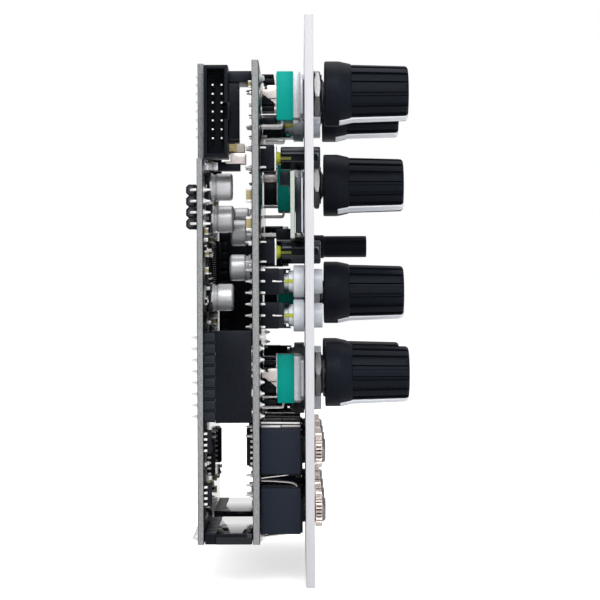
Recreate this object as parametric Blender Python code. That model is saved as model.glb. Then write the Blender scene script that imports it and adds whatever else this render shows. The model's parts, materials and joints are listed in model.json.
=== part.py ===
# Eurorack synthesiser module, 16 HP wide: front panel, two circuit boards, knobs, buttons, display, jacks.
# Metres, +Z up. The panel's front faces -Y and its back face lies on Y = 0. The origin is the middle of
# the back face on the lower screw line. Heights below are given from the middle of the panel.

import math

import bmesh
import bpy
from mathutils import Matrix, Vector

MM = 0.001

# Clearances and overlaps shared by all pieces
SEAT_GAP = 0.2 * MM  # between a piece and what it is seated on
RUNNING_GAP = 0.3 * MM  # round a piece that moves
SINK = 0.1 * MM  # how far the pieces of one solid run into each other
OVERRUN = 1.0 * MM  # how far a cut runs past the faces that it opens

# Sides of the round pieces
FINE_SIDES = 20
ROUND_SIDES = 12
SMALL_SIDES = 12
HOLE_SIDES = 8
JOINT_SIDES = 5

# Front panel
PANEL_WIDTH = 80.9 * MM
PANEL_HEIGHT = 128.5 * MM
PANEL_THICKNESS = 2.0 * MM
RAIL_PITCH = 122.5 * MM  # between the two screw lines
SLOT_WIDTH = 3.2 * MM
SLOT_LENGTH = 5.2 * MM
SLOT_INSET = 7.5 * MM  # from the panel's left edge to the first slot
WIDTH_UNIT = 5.08 * MM  # a rack's pitch across, which spaces the slots
WINDOW_INSET = 4.0 * MM  # from the display board's side to the window
WINDOW_HEIGHT = 9.6 * MM

# Circuit boards
BOARD_MARGIN = 0.7 * MM  # from the panel's side to the boards
BOARD_THICKNESS = 1.6 * MM
MAIN_THICKNESS = 1.4 * MM
BOARD_BOTTOM = -54.7 * MM
CONTROL_TOP = 54.2 * MM
MAIN_TOP = 54.0 * MM
CONTROL_FRONT = 10.3 * MM  # from the panel's back to the control board's front
MAIN_NOTCH_DEPTH = 4.8 * MM
NOTCH_GAP = 0.25 * MM  # from the shrouded header down to the notch's foot

# Headers between the boards
PIN_PITCH = 2.54 * MM
PIN_SIDE = 0.64 * MM
PIN_END_RUN = 0.4 * MM  # body past the last pin's own cell, so 0.2 at each end
SOCKET_DEPTH = 8.1 * MM
SOCKET_WIDTH = 2.5 * MM
SOCKET_HOLE = 1.2 * MM
SOCKET_HOLE_DEPTH = 6.2 * MM
BASE_DEPTH = 2.3 * MM
BASE_WAIST = 0.35 * MM  # how far the base narrows between two pins
PIN_REACH = 5.6 * MM
BOTTOM_HEADER_SPARE = 8.8 * MM  # half the boards' width less a header's pins
BOTTOM_HEADER_RISE = 1.25 * MM  # from the boards' lower edge to the row's middle
BOTTOM_HEADER_INSET = 0.45 * MM  # from the boards' left edge to the left header
BOTTOM_HEADER_SIDE = 6.55 * MM  # from the right header to the boards' right edge
EDGE_HEADER_PINS = 8
EDGE_HEADER_HEIGHT = -17.0 * MM
EDGE_HEADER_INSET = 1.35 * MM  # from the boards' side edge to the row's middle
FAR_HEADER_PINS = 12
FAR_HEADER_HEIGHT = 3.1 * MM
FAR_HEADER_INSET = 4.0 * MM
TOP_HEADER_PINS = 4
TOP_HEADER_DROP = 2.4 * MM  # from the lower of the boards' upper edges to the row's middle
TOP_HEADER_GAP = 0.6 * MM  # from the shrouded header's rear to the top header

# Shrouded two-row header on the main board, its mouth at the left edge
BUS_PITCH = 2.0 * MM
BUS_PINS = 7
BUS_LENGTH = 20.7 * MM
BUS_DEPTH = 5.5 * MM
BUS_REACH = 8.6 * MM
BUS_DROP = 11.3 * MM  # from the board's upper edge to the header's middle
BUS_WALL = 0.8 * MM
BUS_CAVITY = 6.4 * MM
BUS_PIN_SIDE = 0.5 * MM
BUS_PIN_REACH = 5.0 * MM
BUS_PIN_SHIFT = 0.3 * MM  # of the two rows towards the panel
BUS_KEY = 3.6 * MM
BUS_KEY_DEPTH = 5.5 * MM
BUS_EDGE_INSET = 0.2 * MM  # from the board's side edge to the mouth

# Right-angled pin header on the main board's rear face, its pins pointing away from the left edge
REAR_PINS = 4
REAR_HEIGHT = 21.3 * MM
REAR_INSET = 1.2 * MM  # from the board's side edge to the pins' legs
REAR_BASE_DEPTH = 2.3 * MM
REAR_BASE_START = 0.75 * MM  # from the legs' middle to the base
REAR_BASE_LENGTH = 2.5 * MM
REAR_WAIST = 0.5 * MM
REAR_PIN_REACH = 6.0 * MM

# Parts on the main board behind the shrouded header: widths from its rear, heights from its middle
TALL_PART_GAP = 0.5 * MM
TALL_PART_CLEARANCE = 0.25 * MM  # up to the top header
TALL_PART_WIDTH = 5.0 * MM
TALL_PART_DEPTH = 7.9 * MM
TALL_PART_DROP = -6.2 * MM
TAN_PART_DEPTH = 9.1 * MM
TAN_PART_RISE = -6.45 * MM
TAN_PART_DROP = -8.65 * MM
SHELL_GAP = 1.1 * MM  # from the board's notched edge to the connector
SHELL_WIDTH = 4.3 * MM
SHELL_RISE = -9.0 * MM
SHELL_DROP = -11.4 * MM
SHELL_DEPTHS = (9.5 * MM, 6.0 * MM, 4.6 * MM)  # from the board: front, step, rear
PLUG_BODY_DEPTHS = (8.2 * MM, 2.0 * MM)
PLUG_BODY_DROP = -12.9 * MM
PLUG_LEG_WIDTH = 1.0 * MM

# Electrolytic capacitors
CAN_RADIUS = 3.15 * MM
CAN_HEIGHT = 6.0 * MM
CAN_FOOT = 1.1 * MM
CAN_FOOT_SIDE = 6.6 * MM
CAN_FOOT_CHAMFER = 1.3 * MM
CAN_BEAD = 0.35 * MM  # depth of the groove rolled above the foot
CAN_BEAD_HEIGHT = 1.9 * MM
CAN_BEAD_WIDTH = 0.9 * MM
CAN_EDGE = 0.4 * MM

# Solder joints
JOINT_RADIUS = 0.8 * MM
JOINT_TIP = 0.32 * MM
JOINT_HEIGHT = 1.1 * MM

# Potentiometers, about the shaft's axis
KNOB_INSET = 19.95 * MM  # from the panel's side to an outer knob's axis
TOP_KNOB_ROW = 48.7 * MM
UPPER_KNOB_ROW = 28.5 * MM
LOWER_KNOB_ROW = 2.1 * MM
BOTTOM_KNOB_ROW = -17.2 * MM
POT_WIDTH = 9.5 * MM
POT_HEIGHT = 11.4 * MM
POT_DROP = 0.9 * MM  # from the shaft's axis down to the body's middle
POT_PLATE = 2.35 * MM
POT_PLATE_INSET = 0.3 * MM
POT_BODY = 3.95 * MM
POT_BACK = 0.3 * MM
POT_BACK_INSET = 0.5 * MM
BUSHING_RADIUS = 3.5 * MM
BUSHING_PROUD = 2.4 * MM  # in front of the panel
SHAFT_RADIUS = 2.9 * MM
SHAFT_BEARING = 3.4 * MM  # shaft behind the panel's back face
LUG_THICKNESS = 0.5 * MM
LUG_INSET = 0.15 * MM  # from the body's side
LUG_HEIGHT = 3.0 * MM
LUG_FOOT = 1.3 * MM  # its height at the board
LUG_TAPER = 1.4 * MM
TERMINAL_PITCH = 2.5 * MM
TERMINAL_WIDTH = 0.9 * MM
TERMINAL_THICKNESS = 0.5 * MM
TERMINAL_DROP = 1.1 * MM
TERMINAL_SETBACK = 1.6 * MM  # from the body's rear to the terminals

# Nuts and washers on the bushings
NUT_ACROSS = 10.3 * MM
NUT_THICKNESS = 1.4 * MM
NUT_CHAMFER = 0.35 * MM
WASHER_RADIUS = 5.45 * MM
WASHER_THICKNESS = 0.35 * MM
NUT_TURNS = {
    "top_left": math.radians(18),
    "top_right": math.radians(4),
    "upper_centre": math.radians(12),
    "lower_centre": math.radians(47),
    "bottom_left": math.radians(31),
    "bottom_right": math.radians(22),
}

# Knobs, from the skirt's foot towards the tip
KNOB_STANDOFF = 2.7 * MM  # from the panel's front to the skirt
KNOB_LENGTH = 19.65 * MM
SKIRT_RADIUS = 7.6 * MM
SKIRT_LENGTH = 3.8 * MM
SHOULDER_LENGTH = 2.2 * MM
BODY_RADIUS = 6.8 * MM
TIP_RADIUS = 6.45 * MM
TIP_ROUND = 0.7 * MM
FLUTES = 16
FLUTE_DEPTH = 0.55 * MM
FLUTE_LAND_SHARE = 0.56
FLUTE_LEDGE = 0.15 * MM  # from the shoulder's top in to the fluted body
FLUTE_END = 1.2 * MM  # from the tip
HOLLOW_DEPTH = 2.6 * MM
HOLLOW_WALL = 1.1 * MM
HUB_RADIUS = 3.8 * MM
POINTER_WIDTH = 1.7 * MM
POINTER_PROUD = 0.12 * MM
POINTER_DEPTH = 1.6 * MM
POINTER_REST = math.radians(-150)  # from straight up, towards the left

# Slim trimmer
TRIMMER_ROW = 14.0 * MM
TRIMMER_RADIUS = 2.75 * MM
TRIMMER_PROUD = 14.0 * MM
TRIMMER_COLLAR = 0.25 * MM
TRIMMER_COLLAR_LENGTH = 3.0 * MM
TRIMMER_EDGE = 0.4 * MM
TRIMMER_SLOT = 0.7 * MM
TRIMMER_SLOT_DEPTH = 0.5 * MM
TRIMMER_BODY_WIDTH = 9.6 * MM
TRIMMER_BODY_HEIGHT = 10.4 * MM
TRIMMER_BODY_DEPTH = 6.0 * MM
TRIMMER_NECK_RADIUS = 4.2 * MM
TRIMMER_NECK = 1.2 * MM
TRIMMER_BEARING = 2.2 * MM

# Push switches with long caps
BUTTON_INSET = 9.5 * MM  # from the panel's left edge
PUSH_ROWS = {"upper": 32.7 * MM, "lower": 11.2 * MM}
PUSH_SIDE = 6.0 * MM
PUSH_DEPTH = 3.6 * MM
PUSH_TRAVEL = 0.3 * MM
PUSH_STEM_RADIUS = 1.75 * MM
PUSH_STEM_SEAT = 0.7 * MM
PUSH_STEM_SHOWN = 1.0 * MM
PUSH_CAP_RADIUS = 2.65 * MM
PUSH_CAP_PROUD = 1.6 * MM
PUSH_CAP_ROUND = 0.5 * MM
PUSH_CORNER = 0.5 * MM
PUSH_LEG_PITCH = 4.5 * MM
PUSH_LEG_WIDTH = 0.7 * MM
PUSH_LEG_REACH = 0.5 * MM

# Lit buttons
LIT_SIDE = 6.0 * MM
LIT_DEPTH = 5.3 * MM
LIT_RAIL_THICKNESS = 0.75 * MM
LIT_RAIL_LENGTH = 1.6 * MM
LIT_RAIL_CHAMFER = 0.65 * MM
LIT_TRAVEL = 0.5 * MM
LIT_STEM_RADIUS = 1.85 * MM
LIT_STEM_SEAT = 0.8 * MM
LIT_NECK_RADIUS = 2.3 * MM
LIT_NECK_LENGTH = 0.45 * MM
LIT_FLANGE_RADIUS = 3.7 * MM
LIT_FLANGE_LENGTH = 2.45 * MM
LIT_CAP_RADIUS = 2.825 * MM
LIT_CAP_PROUD = 2.0 * MM
LIT_CAP_ROUND = 0.5 * MM
LIT_ROWS = {
    "left_upper": 4.5 * MM,
    "left_lower": -3.3 * MM,
    "centre_top": 43.0 * MM,
    "centre_middle": -13.9 * MM,
    "centre_bottom": -24.0 * MM,
}

# Display behind its window
DISPLAY_HEIGHT = 15.1 * MM
DISPLAY_INSET = 1.5 * MM  # from the panel's left edge
DISPLAY_GAP = 2.2 * MM  # from the display board to the pot beside it
DISPLAY_ROW = 21.75 * MM
DISPLAY_THICKNESS = 0.95 * MM
GLASS_INSET = 1.5 * MM  # from the display board's side to the glass
GLASS_HEIGHT = 12.4 * MM
GLASS_THICKNESS = 1.9 * MM
PLUG_DEPTH = 3.4 * MM
PLUG_HEIGHT = 2.5 * MM
PLUG_PINS = 4

# Jacks
JACK_ROWS = (-34.1 * MM, -47.5 * MM)
JACK_COLUMNS = 4
JACK_INSET = 7.945 * MM  # from the panel's side to the first column
JACK_WIDTH = 9.0 * MM
JACK_HEIGHT = 10.5 * MM
JACK_FRONT = 0.7 * MM  # from the panel's back to the body's front
JACK_CORNER = 0.8 * MM
JACK_BARREL_RADIUS = 3.0 * MM
JACK_BARREL_PROUD = 2.5 * MM
JACK_BORE_RADIUS = 1.8 * MM
JACK_BORE_END = 1.5 * MM  # wall left behind the bore
JACK_NUT_RADIUS = 3.95 * MM
JACK_NUT_THICKNESS = 1.9 * MM
JACK_KNURLS = 8
JACK_KNURL_DEPTH = 0.25 * MM
STRIP_WIDTH = 3.0 * MM
STRIP_RISE = 0.5 * MM
STRIP_START = 1.1 * MM  # from the body's front

# Chips: width, length and depth of each package
PACKAGES = {
    "ceramic": (1.6 * MM, 3.2 * MM, 1.0 * MM),
    "driver": (3.9 * MM, 5.0 * MM, 1.6 * MM),
    "amplifier": (3.9 * MM, 8.6 * MM, 1.6 * MM),
    "regulator": (6.6 * MM, 6.2 * MM, 2.3 * MM),
    "codec": (7.0 * MM, 7.0 * MM, 1.4 * MM),
    "processor": (14.0 * MM, 14.0 * MM, 1.4 * MM),
}
# Package, then the middle's place as shares of the boards' half width and of the height from the middle
# of the panel to the boards' upper or lower edge
CONTROL_CHIP_SHARES = (
    ("ceramic", -0.94, 0.46),
    ("ceramic", -0.94, 0.34),
    ("amplifier", -0.75, -0.61),
    ("amplifier", -0.3, -0.61),
    ("amplifier", 0.2, -0.61),
    ("codec", 0.5, 0.63),
)
MAIN_CHIP_SHARES = (
    ("driver", -0.91, -0.58),
    ("ceramic", -0.91, -0.69),
    ("driver", -0.91, -0.8),
    ("amplifier", -0.5, -0.67),
    ("amplifier", 0.35, -0.67),
    ("codec", -0.15, -0.37),
    ("processor", 0.35, 0.15),
    ("regulator", 0.05, 0.63),
)

# Capacitors: from the panel's left edge, then the height
MAIN_CANS = {
    "upper": (14.5 * MM, 26.5 * MM),
    "middle": (21.5 * MM, 19.4 * MM),
    "lower": (19.5 * MM, 0.9 * MM),
}
CONTROL_CANS = ((33.0 * MM, 16.5 * MM), (27.0 * MM, 8.0 * MM), (52.0 * MM, 20.5 * MM))

# Places worked out from the sizes above
MID_Z = RAIL_PITCH / 2
LEFT_EDGE = -PANEL_WIDTH / 2
PANEL_FRONT = -PANEL_THICKNESS
CONTROL_REAR = CONTROL_FRONT + BOARD_THICKNESS
MAIN_FRONT = CONTROL_REAR + SOCKET_DEPTH + BASE_DEPTH + 3 * SEAT_GAP
MAIN_REAR = MAIN_FRONT + MAIN_THICKNESS
BOARD_EDGE = PANEL_WIDTH / 2 - BOARD_MARGIN
BOARD_WIDTH = 2 * BOARD_EDGE
CONTROL_SEAT = CONTROL_FRONT - SEAT_GAP
POT_REAR = SEAT_GAP + POT_PLATE + POT_BODY
KNOB_COLUMN = PANEL_WIDTH / 2 - KNOB_INSET
BUTTON_COLUMN = LEFT_EDGE + BUTTON_INSET
JACK_PITCH = (PANEL_WIDTH - 2 * JACK_INSET) / (JACK_COLUMNS - 1)
DISPLAY_WIDTH = PANEL_WIDTH / 2 - DISPLAY_INSET - DISPLAY_GAP - POT_WIDTH / 2
WINDOW_WIDTH = DISPLAY_WIDTH - 2 * WINDOW_INSET
GLASS_WIDTH = DISPLAY_WIDTH - 2 * GLASS_INSET
BOTTOM_HEADER_PINS = int((BOARD_EDGE - BOTTOM_HEADER_SPARE) / PIN_PITCH)
BOTTOM_HEADER_HEIGHT = BOARD_BOTTOM + BOTTOM_HEADER_RISE
TOP_HEADER_HEIGHT = min(MAIN_TOP, CONTROL_TOP) - TOP_HEADER_DROP
BUS_HEIGHT = MAIN_TOP - BUS_DROP
MAIN_NOTCH_FOOT = BUS_HEIGHT - BUS_LENGTH / 2 - NOTCH_GAP
SLOT_PITCH = WIDTH_UNIT * round((PANEL_WIDTH - 2 * SLOT_INSET) / WIDTH_UNIT)
LIT_BUTTONS = {
    name: (BUTTON_COLUMN if name.startswith("left") else 0, row) for name, row in LIT_ROWS.items()
}
SLOTS = [
    (LEFT_EDGE + SLOT_INSET + column * SLOT_PITCH, side * RAIL_PITCH / 2)
    for column in (0, 1)
    for side in (-1, 1)
]
POTS = {
    "top_left": (-KNOB_COLUMN, TOP_KNOB_ROW),
    "top_right": (KNOB_COLUMN, TOP_KNOB_ROW),
    "upper_centre": (0, UPPER_KNOB_ROW),
    "lower_centre": (0, LOWER_KNOB_ROW),
    "bottom_left": (-KNOB_COLUMN, BOTTOM_KNOB_ROW),
    "bottom_right": (KNOB_COLUMN, BOTTOM_KNOB_ROW),
}
JACKS = [
    ((column - (JACK_COLUMNS - 1) / 2) * JACK_PITCH, row)
    for row in JACK_ROWS
    for column in range(JACK_COLUMNS)
]


def clear_scene():
    for thing in list(bpy.data.objects):
        bpy.data.objects.remove(thing)


def material(name, colour, roughness, metallic=0.0):
    made = bpy.data.materials.new(name)
    made.use_nodes = True
    shader = made.node_tree.nodes["Principled BSDF"]
    shader.inputs["Base Color"].default_value = (*colour, 1)
    shader.inputs["Roughness"].default_value = roughness
    shader.inputs["Metallic"].default_value = metallic
    made.diffuse_color = (*colour, 1)
    return made


# Shapes: each function returns one closed bmesh, its faces pointing out


def finished(shape):
    bmesh.ops.recalc_face_normals(shape, faces=shape.faces)
    return shape


def box(x0, x1, y0, y1, z0, z1):
    shape = bmesh.new()
    bmesh.ops.create_cube(shape, size=1)
    size = Matrix.Diagonal((x1 - x0, y1 - y0, z1 - z0, 1))
    middle = Matrix.Translation(((x0 + x1) / 2, (y0 + y1) / 2, (z0 + z1) / 2))
    shape.transform(middle @ size)
    return finished(shape)


def block(x, z, width, height, y0, y1):
    """A box about (x, z), from y0 to y1."""
    return box(x - width / 2, x + width / 2, y0, y1, z - height / 2, z + height / 2)


def loft(rings, closed=False):
    """Rings of points of equal count, joined in turn. The ends are capped, or joined when closed."""
    shape = bmesh.new()
    made = [[shape.verts.new(point) for point in ring] for ring in rings]
    for first, second in zip(made, made[1:] + made[:1] if closed else made[1:]):
        for i in range(len(first)):
            j = (i + 1) % len(first)
            shape.faces.new((first[i], first[j], second[j], second[i]))
    if not closed:
        shape.faces.new(made[0])
        shape.faces.new(made[-1])
    return finished(shape)


def ring(radii, y, x=0, z=0):
    """Points round an axis along Y at (x, z), one for each radius."""
    step = 2 * math.pi / len(radii)
    return [
        Vector((x + r * math.sin(i * step), y, z + r * math.cos(i * step)))
        for i, r in enumerate(radii)
    ]


def turned(profile, sides, x=0, z=0, closed=False):
    """A profile of (radius, y) points turned about the axis along Y at (x, z)."""
    return loft([ring([radius] * sides, y, x, z) for radius, y in profile], closed)


def extruded(outline, y0, y1):
    """An outline of (x, z) points carried from y0 to y1."""
    return loft([[Vector((x, y, z)) for x, z in outline] for y in (y0, y1)])


def chamfered(x, z, width, height, chamfer):
    """The outline of a rectangle about (x, z) with its corners cut."""
    w = width / 2
    h = height / 2
    quarter = [(w, h - chamfer), (w - chamfer, h)]
    corners = []
    for a, b in ((1, 1), (-1, 1), (-1, -1), (1, -1)):
        points = [(x + a * p, z + b * q) for p, q in quarter]
        corners += points if a == b else points[::-1]
    return corners


def stadium(x, z, length, width, sides=8):
    """The outline of a slot with round ends, lying along X."""
    half = sides // 2
    run = (length - width) / 2
    outline = []
    for end in (1, -1):
        for i in range(half + 1):
            angle = math.pi * (i / half - 0.5) + (math.pi if end < 0 else 0)
            spot = (math.cos(angle) * width / 2, math.sin(angle) * width / 2)
            outline.append((x + end * run + spot[0], z + spot[1]))
    return outline


def merged(shapes):
    """One mesh that holds every shape."""
    whole = bmesh.new()
    for shape in shapes:
        mesh = bpy.data.meshes.new("piece")
        shape.to_mesh(mesh)
        shape.free()
        whole.from_mesh(mesh)
        bpy.data.meshes.remove(mesh)
    mesh = bpy.data.meshes.new("pieces")
    whole.to_mesh(mesh)
    whole.free()
    return mesh


def solid_mesh(name, adds, cuts=()):
    """One closed mesh: the union of the shapes in adds, less those in cuts."""
    body = bpy.data.objects.new(name, merged(adds[:1]))
    helpers = [body]
    for operation, shapes in (("UNION", adds[1:]), ("DIFFERENCE", cuts)):
        if shapes:
            tool = bpy.data.objects.new(name + "_tool", merged(shapes))
            helpers.append(tool)
            boolean = body.modifiers.new(operation.title(), "BOOLEAN")
            boolean.operation = operation
            boolean.object = tool
            boolean.use_self = True
    for helper in helpers:
        bpy.context.scene.collection.objects.link(helper)
    graph = bpy.context.evaluated_depsgraph_get()
    mesh = bpy.data.meshes.new_from_object(body.evaluated_get(graph))
    mesh.name = name
    for helper in helpers:
        bpy.data.objects.remove(helper)
    mesh.shade_smooth()
    mesh.set_sharp_from_angle(angle=math.radians(35))
    return mesh


def place(name, mesh, look, x=0, height=0, turn=0):
    """An object with its origin on Y = 0. Its height is measured from the middle of the panel."""
    made = bpy.data.objects.new(name, mesh)
    if not mesh.materials:
        mesh.materials.append(look)
    made.location = (x, 0, MID_Z + height)
    made.rotation_euler = (0, turn, 0)
    made.parent = bpy.data.objects["module"]
    bpy.context.scene.collection.objects.link(made)
    return made


def solder_joint(x, z, y, towards):
    """A cone of solder standing on the face at y. Towards is -1 or 1 along Y."""
    profile = (
        (JOINT_RADIUS, y - towards * SINK),
        (JOINT_RADIUS, y),
        (JOINT_TIP, y + towards * JOINT_HEIGHT),
    )
    return turned(profile, JOINT_SIDES, x, z)


def can_profile(y, towards):
    """A capacitor's can over its foot, from the board's face at y."""
    steps = (
        (CAN_RADIUS, CAN_FOOT - SINK),
        (CAN_RADIUS, CAN_BEAD_HEIGHT - CAN_BEAD_WIDTH / 2),
        (CAN_RADIUS - CAN_BEAD, CAN_BEAD_HEIGHT),
        (CAN_RADIUS, CAN_BEAD_HEIGHT + CAN_BEAD_WIDTH / 2),
        (CAN_RADIUS, CAN_HEIGHT - CAN_EDGE),
        (CAN_RADIUS - CAN_EDGE, CAN_HEIGHT),
    )
    return [(radius, y + towards * rise) for radius, rise in steps]


def can(x, z, y, towards, start):
    """An electrolytic capacitor standing on y, its foot beginning at start."""
    foot = chamfered(x, z, CAN_FOOT_SIDE, CAN_FOOT_SIDE, CAN_FOOT_CHAMFER)
    return [
        extruded(foot, start, y + towards * CAN_FOOT),
        turned(can_profile(y, towards), ROUND_SIDES, x, z),
    ]


# Panel


def front_panel():
    y0 = PANEL_FRONT - OVERRUN
    y1 = OVERRUN
    cuts = [extruded(stadium(x, z, SLOT_LENGTH, SLOT_WIDTH), y0, y1) for x, z in SLOTS]
    trimmer_hole = TRIMMER_RADIUS + TRIMMER_COLLAR + 2 * RUNNING_GAP
    holes = [(x, z, BUSHING_RADIUS + 2 * SEAT_GAP) for x, z in POTS.values()]
    holes += [(x, z, JACK_BARREL_RADIUS + 2 * SEAT_GAP) for x, z in JACKS]
    holes += [(x, z, LIT_CAP_RADIUS + 2 * RUNNING_GAP) for x, z in LIT_BUTTONS.values()]
    holes += [(BUTTON_COLUMN, z, PUSH_CAP_RADIUS + 2 * RUNNING_GAP) for z in PUSH_ROWS.values()]
    holes.append((KNOB_COLUMN, TRIMMER_ROW, trimmer_hole))
    for x, z, radius in holes:
        cuts.append(turned(((radius, y0), (radius, y1)), SMALL_SIDES, x, z))
    x = LEFT_EDGE + DISPLAY_INSET + DISPLAY_WIDTH / 2
    cuts.append(block(x, DISPLAY_ROW, WINDOW_WIDTH, WINDOW_HEIGHT, y0, y1))
    plate = block(0, 0, PANEL_WIDTH, PANEL_HEIGHT, PANEL_FRONT, 0)
    return solid_mesh("front_panel", [plate], cuts)


# Boards


def chips(shares, y, towards):
    """Chips on the face at y. Towards is -1 or 1 along Y."""
    made = []
    for package, across, up in shares:
        width, length, depth = PACKAGES[package]
        ends = sorted((y - towards * SINK, y + towards * depth))
        height = up * (CONTROL_TOP if up > 0 else -BOARD_BOTTOM)
        made.append(block(across * BOARD_EDGE, height, width, length, *ends))
    return made


def control_board():
    height = CONTROL_TOP - BOARD_BOTTOM
    middle = (CONTROL_TOP + BOARD_BOTTOM) / 2
    adds = [block(0, middle, BOARD_WIDTH, height, CONTROL_FRONT, CONTROL_REAR)]
    adds += chips(CONTROL_CHIP_SHARES, CONTROL_REAR, 1)
    for inset, z in CONTROL_CANS:
        adds += can(LEFT_EDGE + inset, z, CONTROL_REAR, 1, CONTROL_REAR - SINK)
    for x, z in edge_header_pins():
        adds.append(solder_joint(x, z, CONTROL_FRONT, -1))
    return solid_mesh("control_board", adds)


def parts_behind_bus():
    """A tall part, a tan one under it, and a small shelled connector below the shrouded header."""
    rear = MAIN_FRONT + SINK
    x = -BOARD_EDGE - BUS_EDGE_INSET + BUS_REACH + TALL_PART_GAP
    tall = box(
        x,
        x + TALL_PART_WIDTH,
        MAIN_FRONT - TALL_PART_DEPTH,
        rear,
        BUS_HEIGHT + TALL_PART_DROP,
        TOP_HEADER_HEIGHT - SOCKET_WIDTH / 2 - TALL_PART_CLEARANCE,
    )
    tan = box(
        x + SEAT_GAP,
        x + TALL_PART_WIDTH - SEAT_GAP,
        MAIN_FRONT - TAN_PART_DEPTH,
        rear,
        BUS_HEIGHT + TAN_PART_DROP,
        BUS_HEIGHT + TAN_PART_RISE,
    )
    x0 = -BOARD_EDGE + MAIN_NOTCH_DEPTH + SHELL_GAP
    x1 = x0 + SHELL_WIDTH
    front, step, back = (MAIN_FRONT - depth for depth in SHELL_DEPTHS)
    top = BUS_HEIGHT + SHELL_RISE
    low = BUS_HEIGHT + SHELL_DROP
    ledge = MAIN_NOTCH_FOOT - NOTCH_GAP
    outline = ((front, top), (step, top), (step, ledge), (back, ledge), (back + low - ledge, low), (front, low))
    shell = loft([[Vector((x, y, z)) for y, z in outline] for x in (x0, x1)])
    body_front, body_rear = (MAIN_FRONT - depth for depth in PLUG_BODY_DEPTHS)
    foot = BUS_HEIGHT + PLUG_BODY_DROP
    body = box(x0 + SEAT_GAP, x1 - SEAT_GAP, body_front, body_rear, foot, ledge - SINK)
    leg = box(
        x0 + PLUG_LEG_WIDTH, x1 - PLUG_LEG_WIDTH, body_rear - SINK, rear, foot + SEAT_GAP, ledge - SEAT_GAP
    )
    return [tall, tan, shell, body, leg]


def main_board():
    left = -BOARD_EDGE
    notch = left + MAIN_NOTCH_DEPTH
    outline = (
        (left, BOARD_BOTTOM),
        (BOARD_EDGE, BOARD_BOTTOM),
        (BOARD_EDGE, MAIN_TOP),
        (notch, MAIN_TOP),
        (notch, MAIN_NOTCH_FOOT),
        (left, MAIN_NOTCH_FOOT),
    )
    adds = [extruded(outline, MAIN_FRONT, MAIN_REAR)]
    adds += chips(MAIN_CHIP_SHARES, MAIN_FRONT, -1)
    adds += parts_behind_bus()
    for x, z in edge_header_pins() + bottom_header_pins("left"):
        adds.append(solder_joint(x, z, MAIN_REAR, 1))
    for x, z in rear_header_pins():
        adds.append(solder_joint(x, z, MAIN_FRONT, -1))
    return solid_mesh("main_board", adds)


def capacitor():
    start = MAIN_FRONT - SEAT_GAP
    return solid_mesh("capacitor", can(0, 0, start, -1, start))


# Headers


def row_of(count, pitch):
    return [(i - (count - 1) / 2) * pitch for i in range(count)]


def header_length(count):
    return count * PIN_PITCH + PIN_END_RUN


def edge_header_pins():
    x = -BOARD_EDGE + EDGE_HEADER_INSET
    return [(x, EDGE_HEADER_HEIGHT + z) for z in row_of(EDGE_HEADER_PINS, PIN_PITCH)]


def bottom_header_pins(side):
    half = header_length(BOTTOM_HEADER_PINS) / 2
    middle = -BOARD_EDGE + BOTTOM_HEADER_INSET + half
    if side == "right":
        middle = BOARD_EDGE - BOTTOM_HEADER_SIDE - half
    row = row_of(BOTTOM_HEADER_PINS, PIN_PITCH)
    return [(middle + x, BOTTOM_HEADER_HEIGHT) for x in row]


def far_header_pins():
    x = BOARD_EDGE - FAR_HEADER_INSET
    return [(x, FAR_HEADER_HEIGHT + z) for z in row_of(FAR_HEADER_PINS, PIN_PITCH)]


def top_header_pins():
    start = -BOARD_EDGE - BUS_EDGE_INSET + BUS_REACH + TOP_HEADER_GAP
    middle = start + header_length(TOP_HEADER_PINS) / 2
    return [(middle + x, TOP_HEADER_HEIGHT) for x in row_of(TOP_HEADER_PINS, PIN_PITCH)]


def rear_header_pins():
    x = -BOARD_EDGE + REAR_INSET
    return [(x, REAR_HEIGHT + z) for z in row_of(REAR_PINS, PIN_PITCH)]


def header_body(pins, y0, y1):
    """A plain block round a row of pins that lies along X or Z."""
    across = (pins[0][0] + pins[-1][0]) / 2
    height = (pins[0][1] + pins[-1][1]) / 2
    length = header_length(len(pins))
    if pins[0][1] == pins[-1][1]:
        return block(across, height, length, SOCKET_WIDTH, y0, y1)
    return block(across, height, SOCKET_WIDTH, length, y0, y1)


def socket(name, pins):
    """The socket on the control board's rear, with a square hole for each pin."""
    y0 = CONTROL_REAR + SEAT_GAP
    y1 = y0 + SOCKET_DEPTH
    holes = [
        block(x, z, SOCKET_HOLE, SOCKET_HOLE, y1 - SOCKET_HOLE_DEPTH, y1 + OVERRUN)
        for x, z in pins
    ]
    return solid_mesh(name, [header_body(pins, y0, y1)], holes)


def waisted_cell(x, z, y0, y1):
    """One pin's share of a base: a square with its corners cut, as where the strip snaps apart."""
    side = PIN_PITCH + SINK
    return extruded(chamfered(x, z, side, side, BASE_WAIST), y0, y1)


def pin_base(name, pins, waisted=False):
    """The base on the main board's front, and the pins that run from it into the socket."""
    y1 = MAIN_FRONT - SEAT_GAP
    y0 = y1 - BASE_DEPTH
    adds = [waisted_cell(x, z, y0, y1) for x, z in pins] if waisted else [header_body(pins, y0, y1)]
    for x, z in pins:
        adds.append(block(x, z, PIN_SIDE, PIN_SIDE, y0 - PIN_REACH, y0 + SINK))
    return solid_mesh(name, adds)


def joined_header(name, pins):
    """Socket and base as one solid, for a header that the others hide."""
    y0 = CONTROL_REAR + SEAT_GAP
    return solid_mesh(name, [header_body(pins, y0, MAIN_FRONT - SEAT_GAP)])


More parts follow.
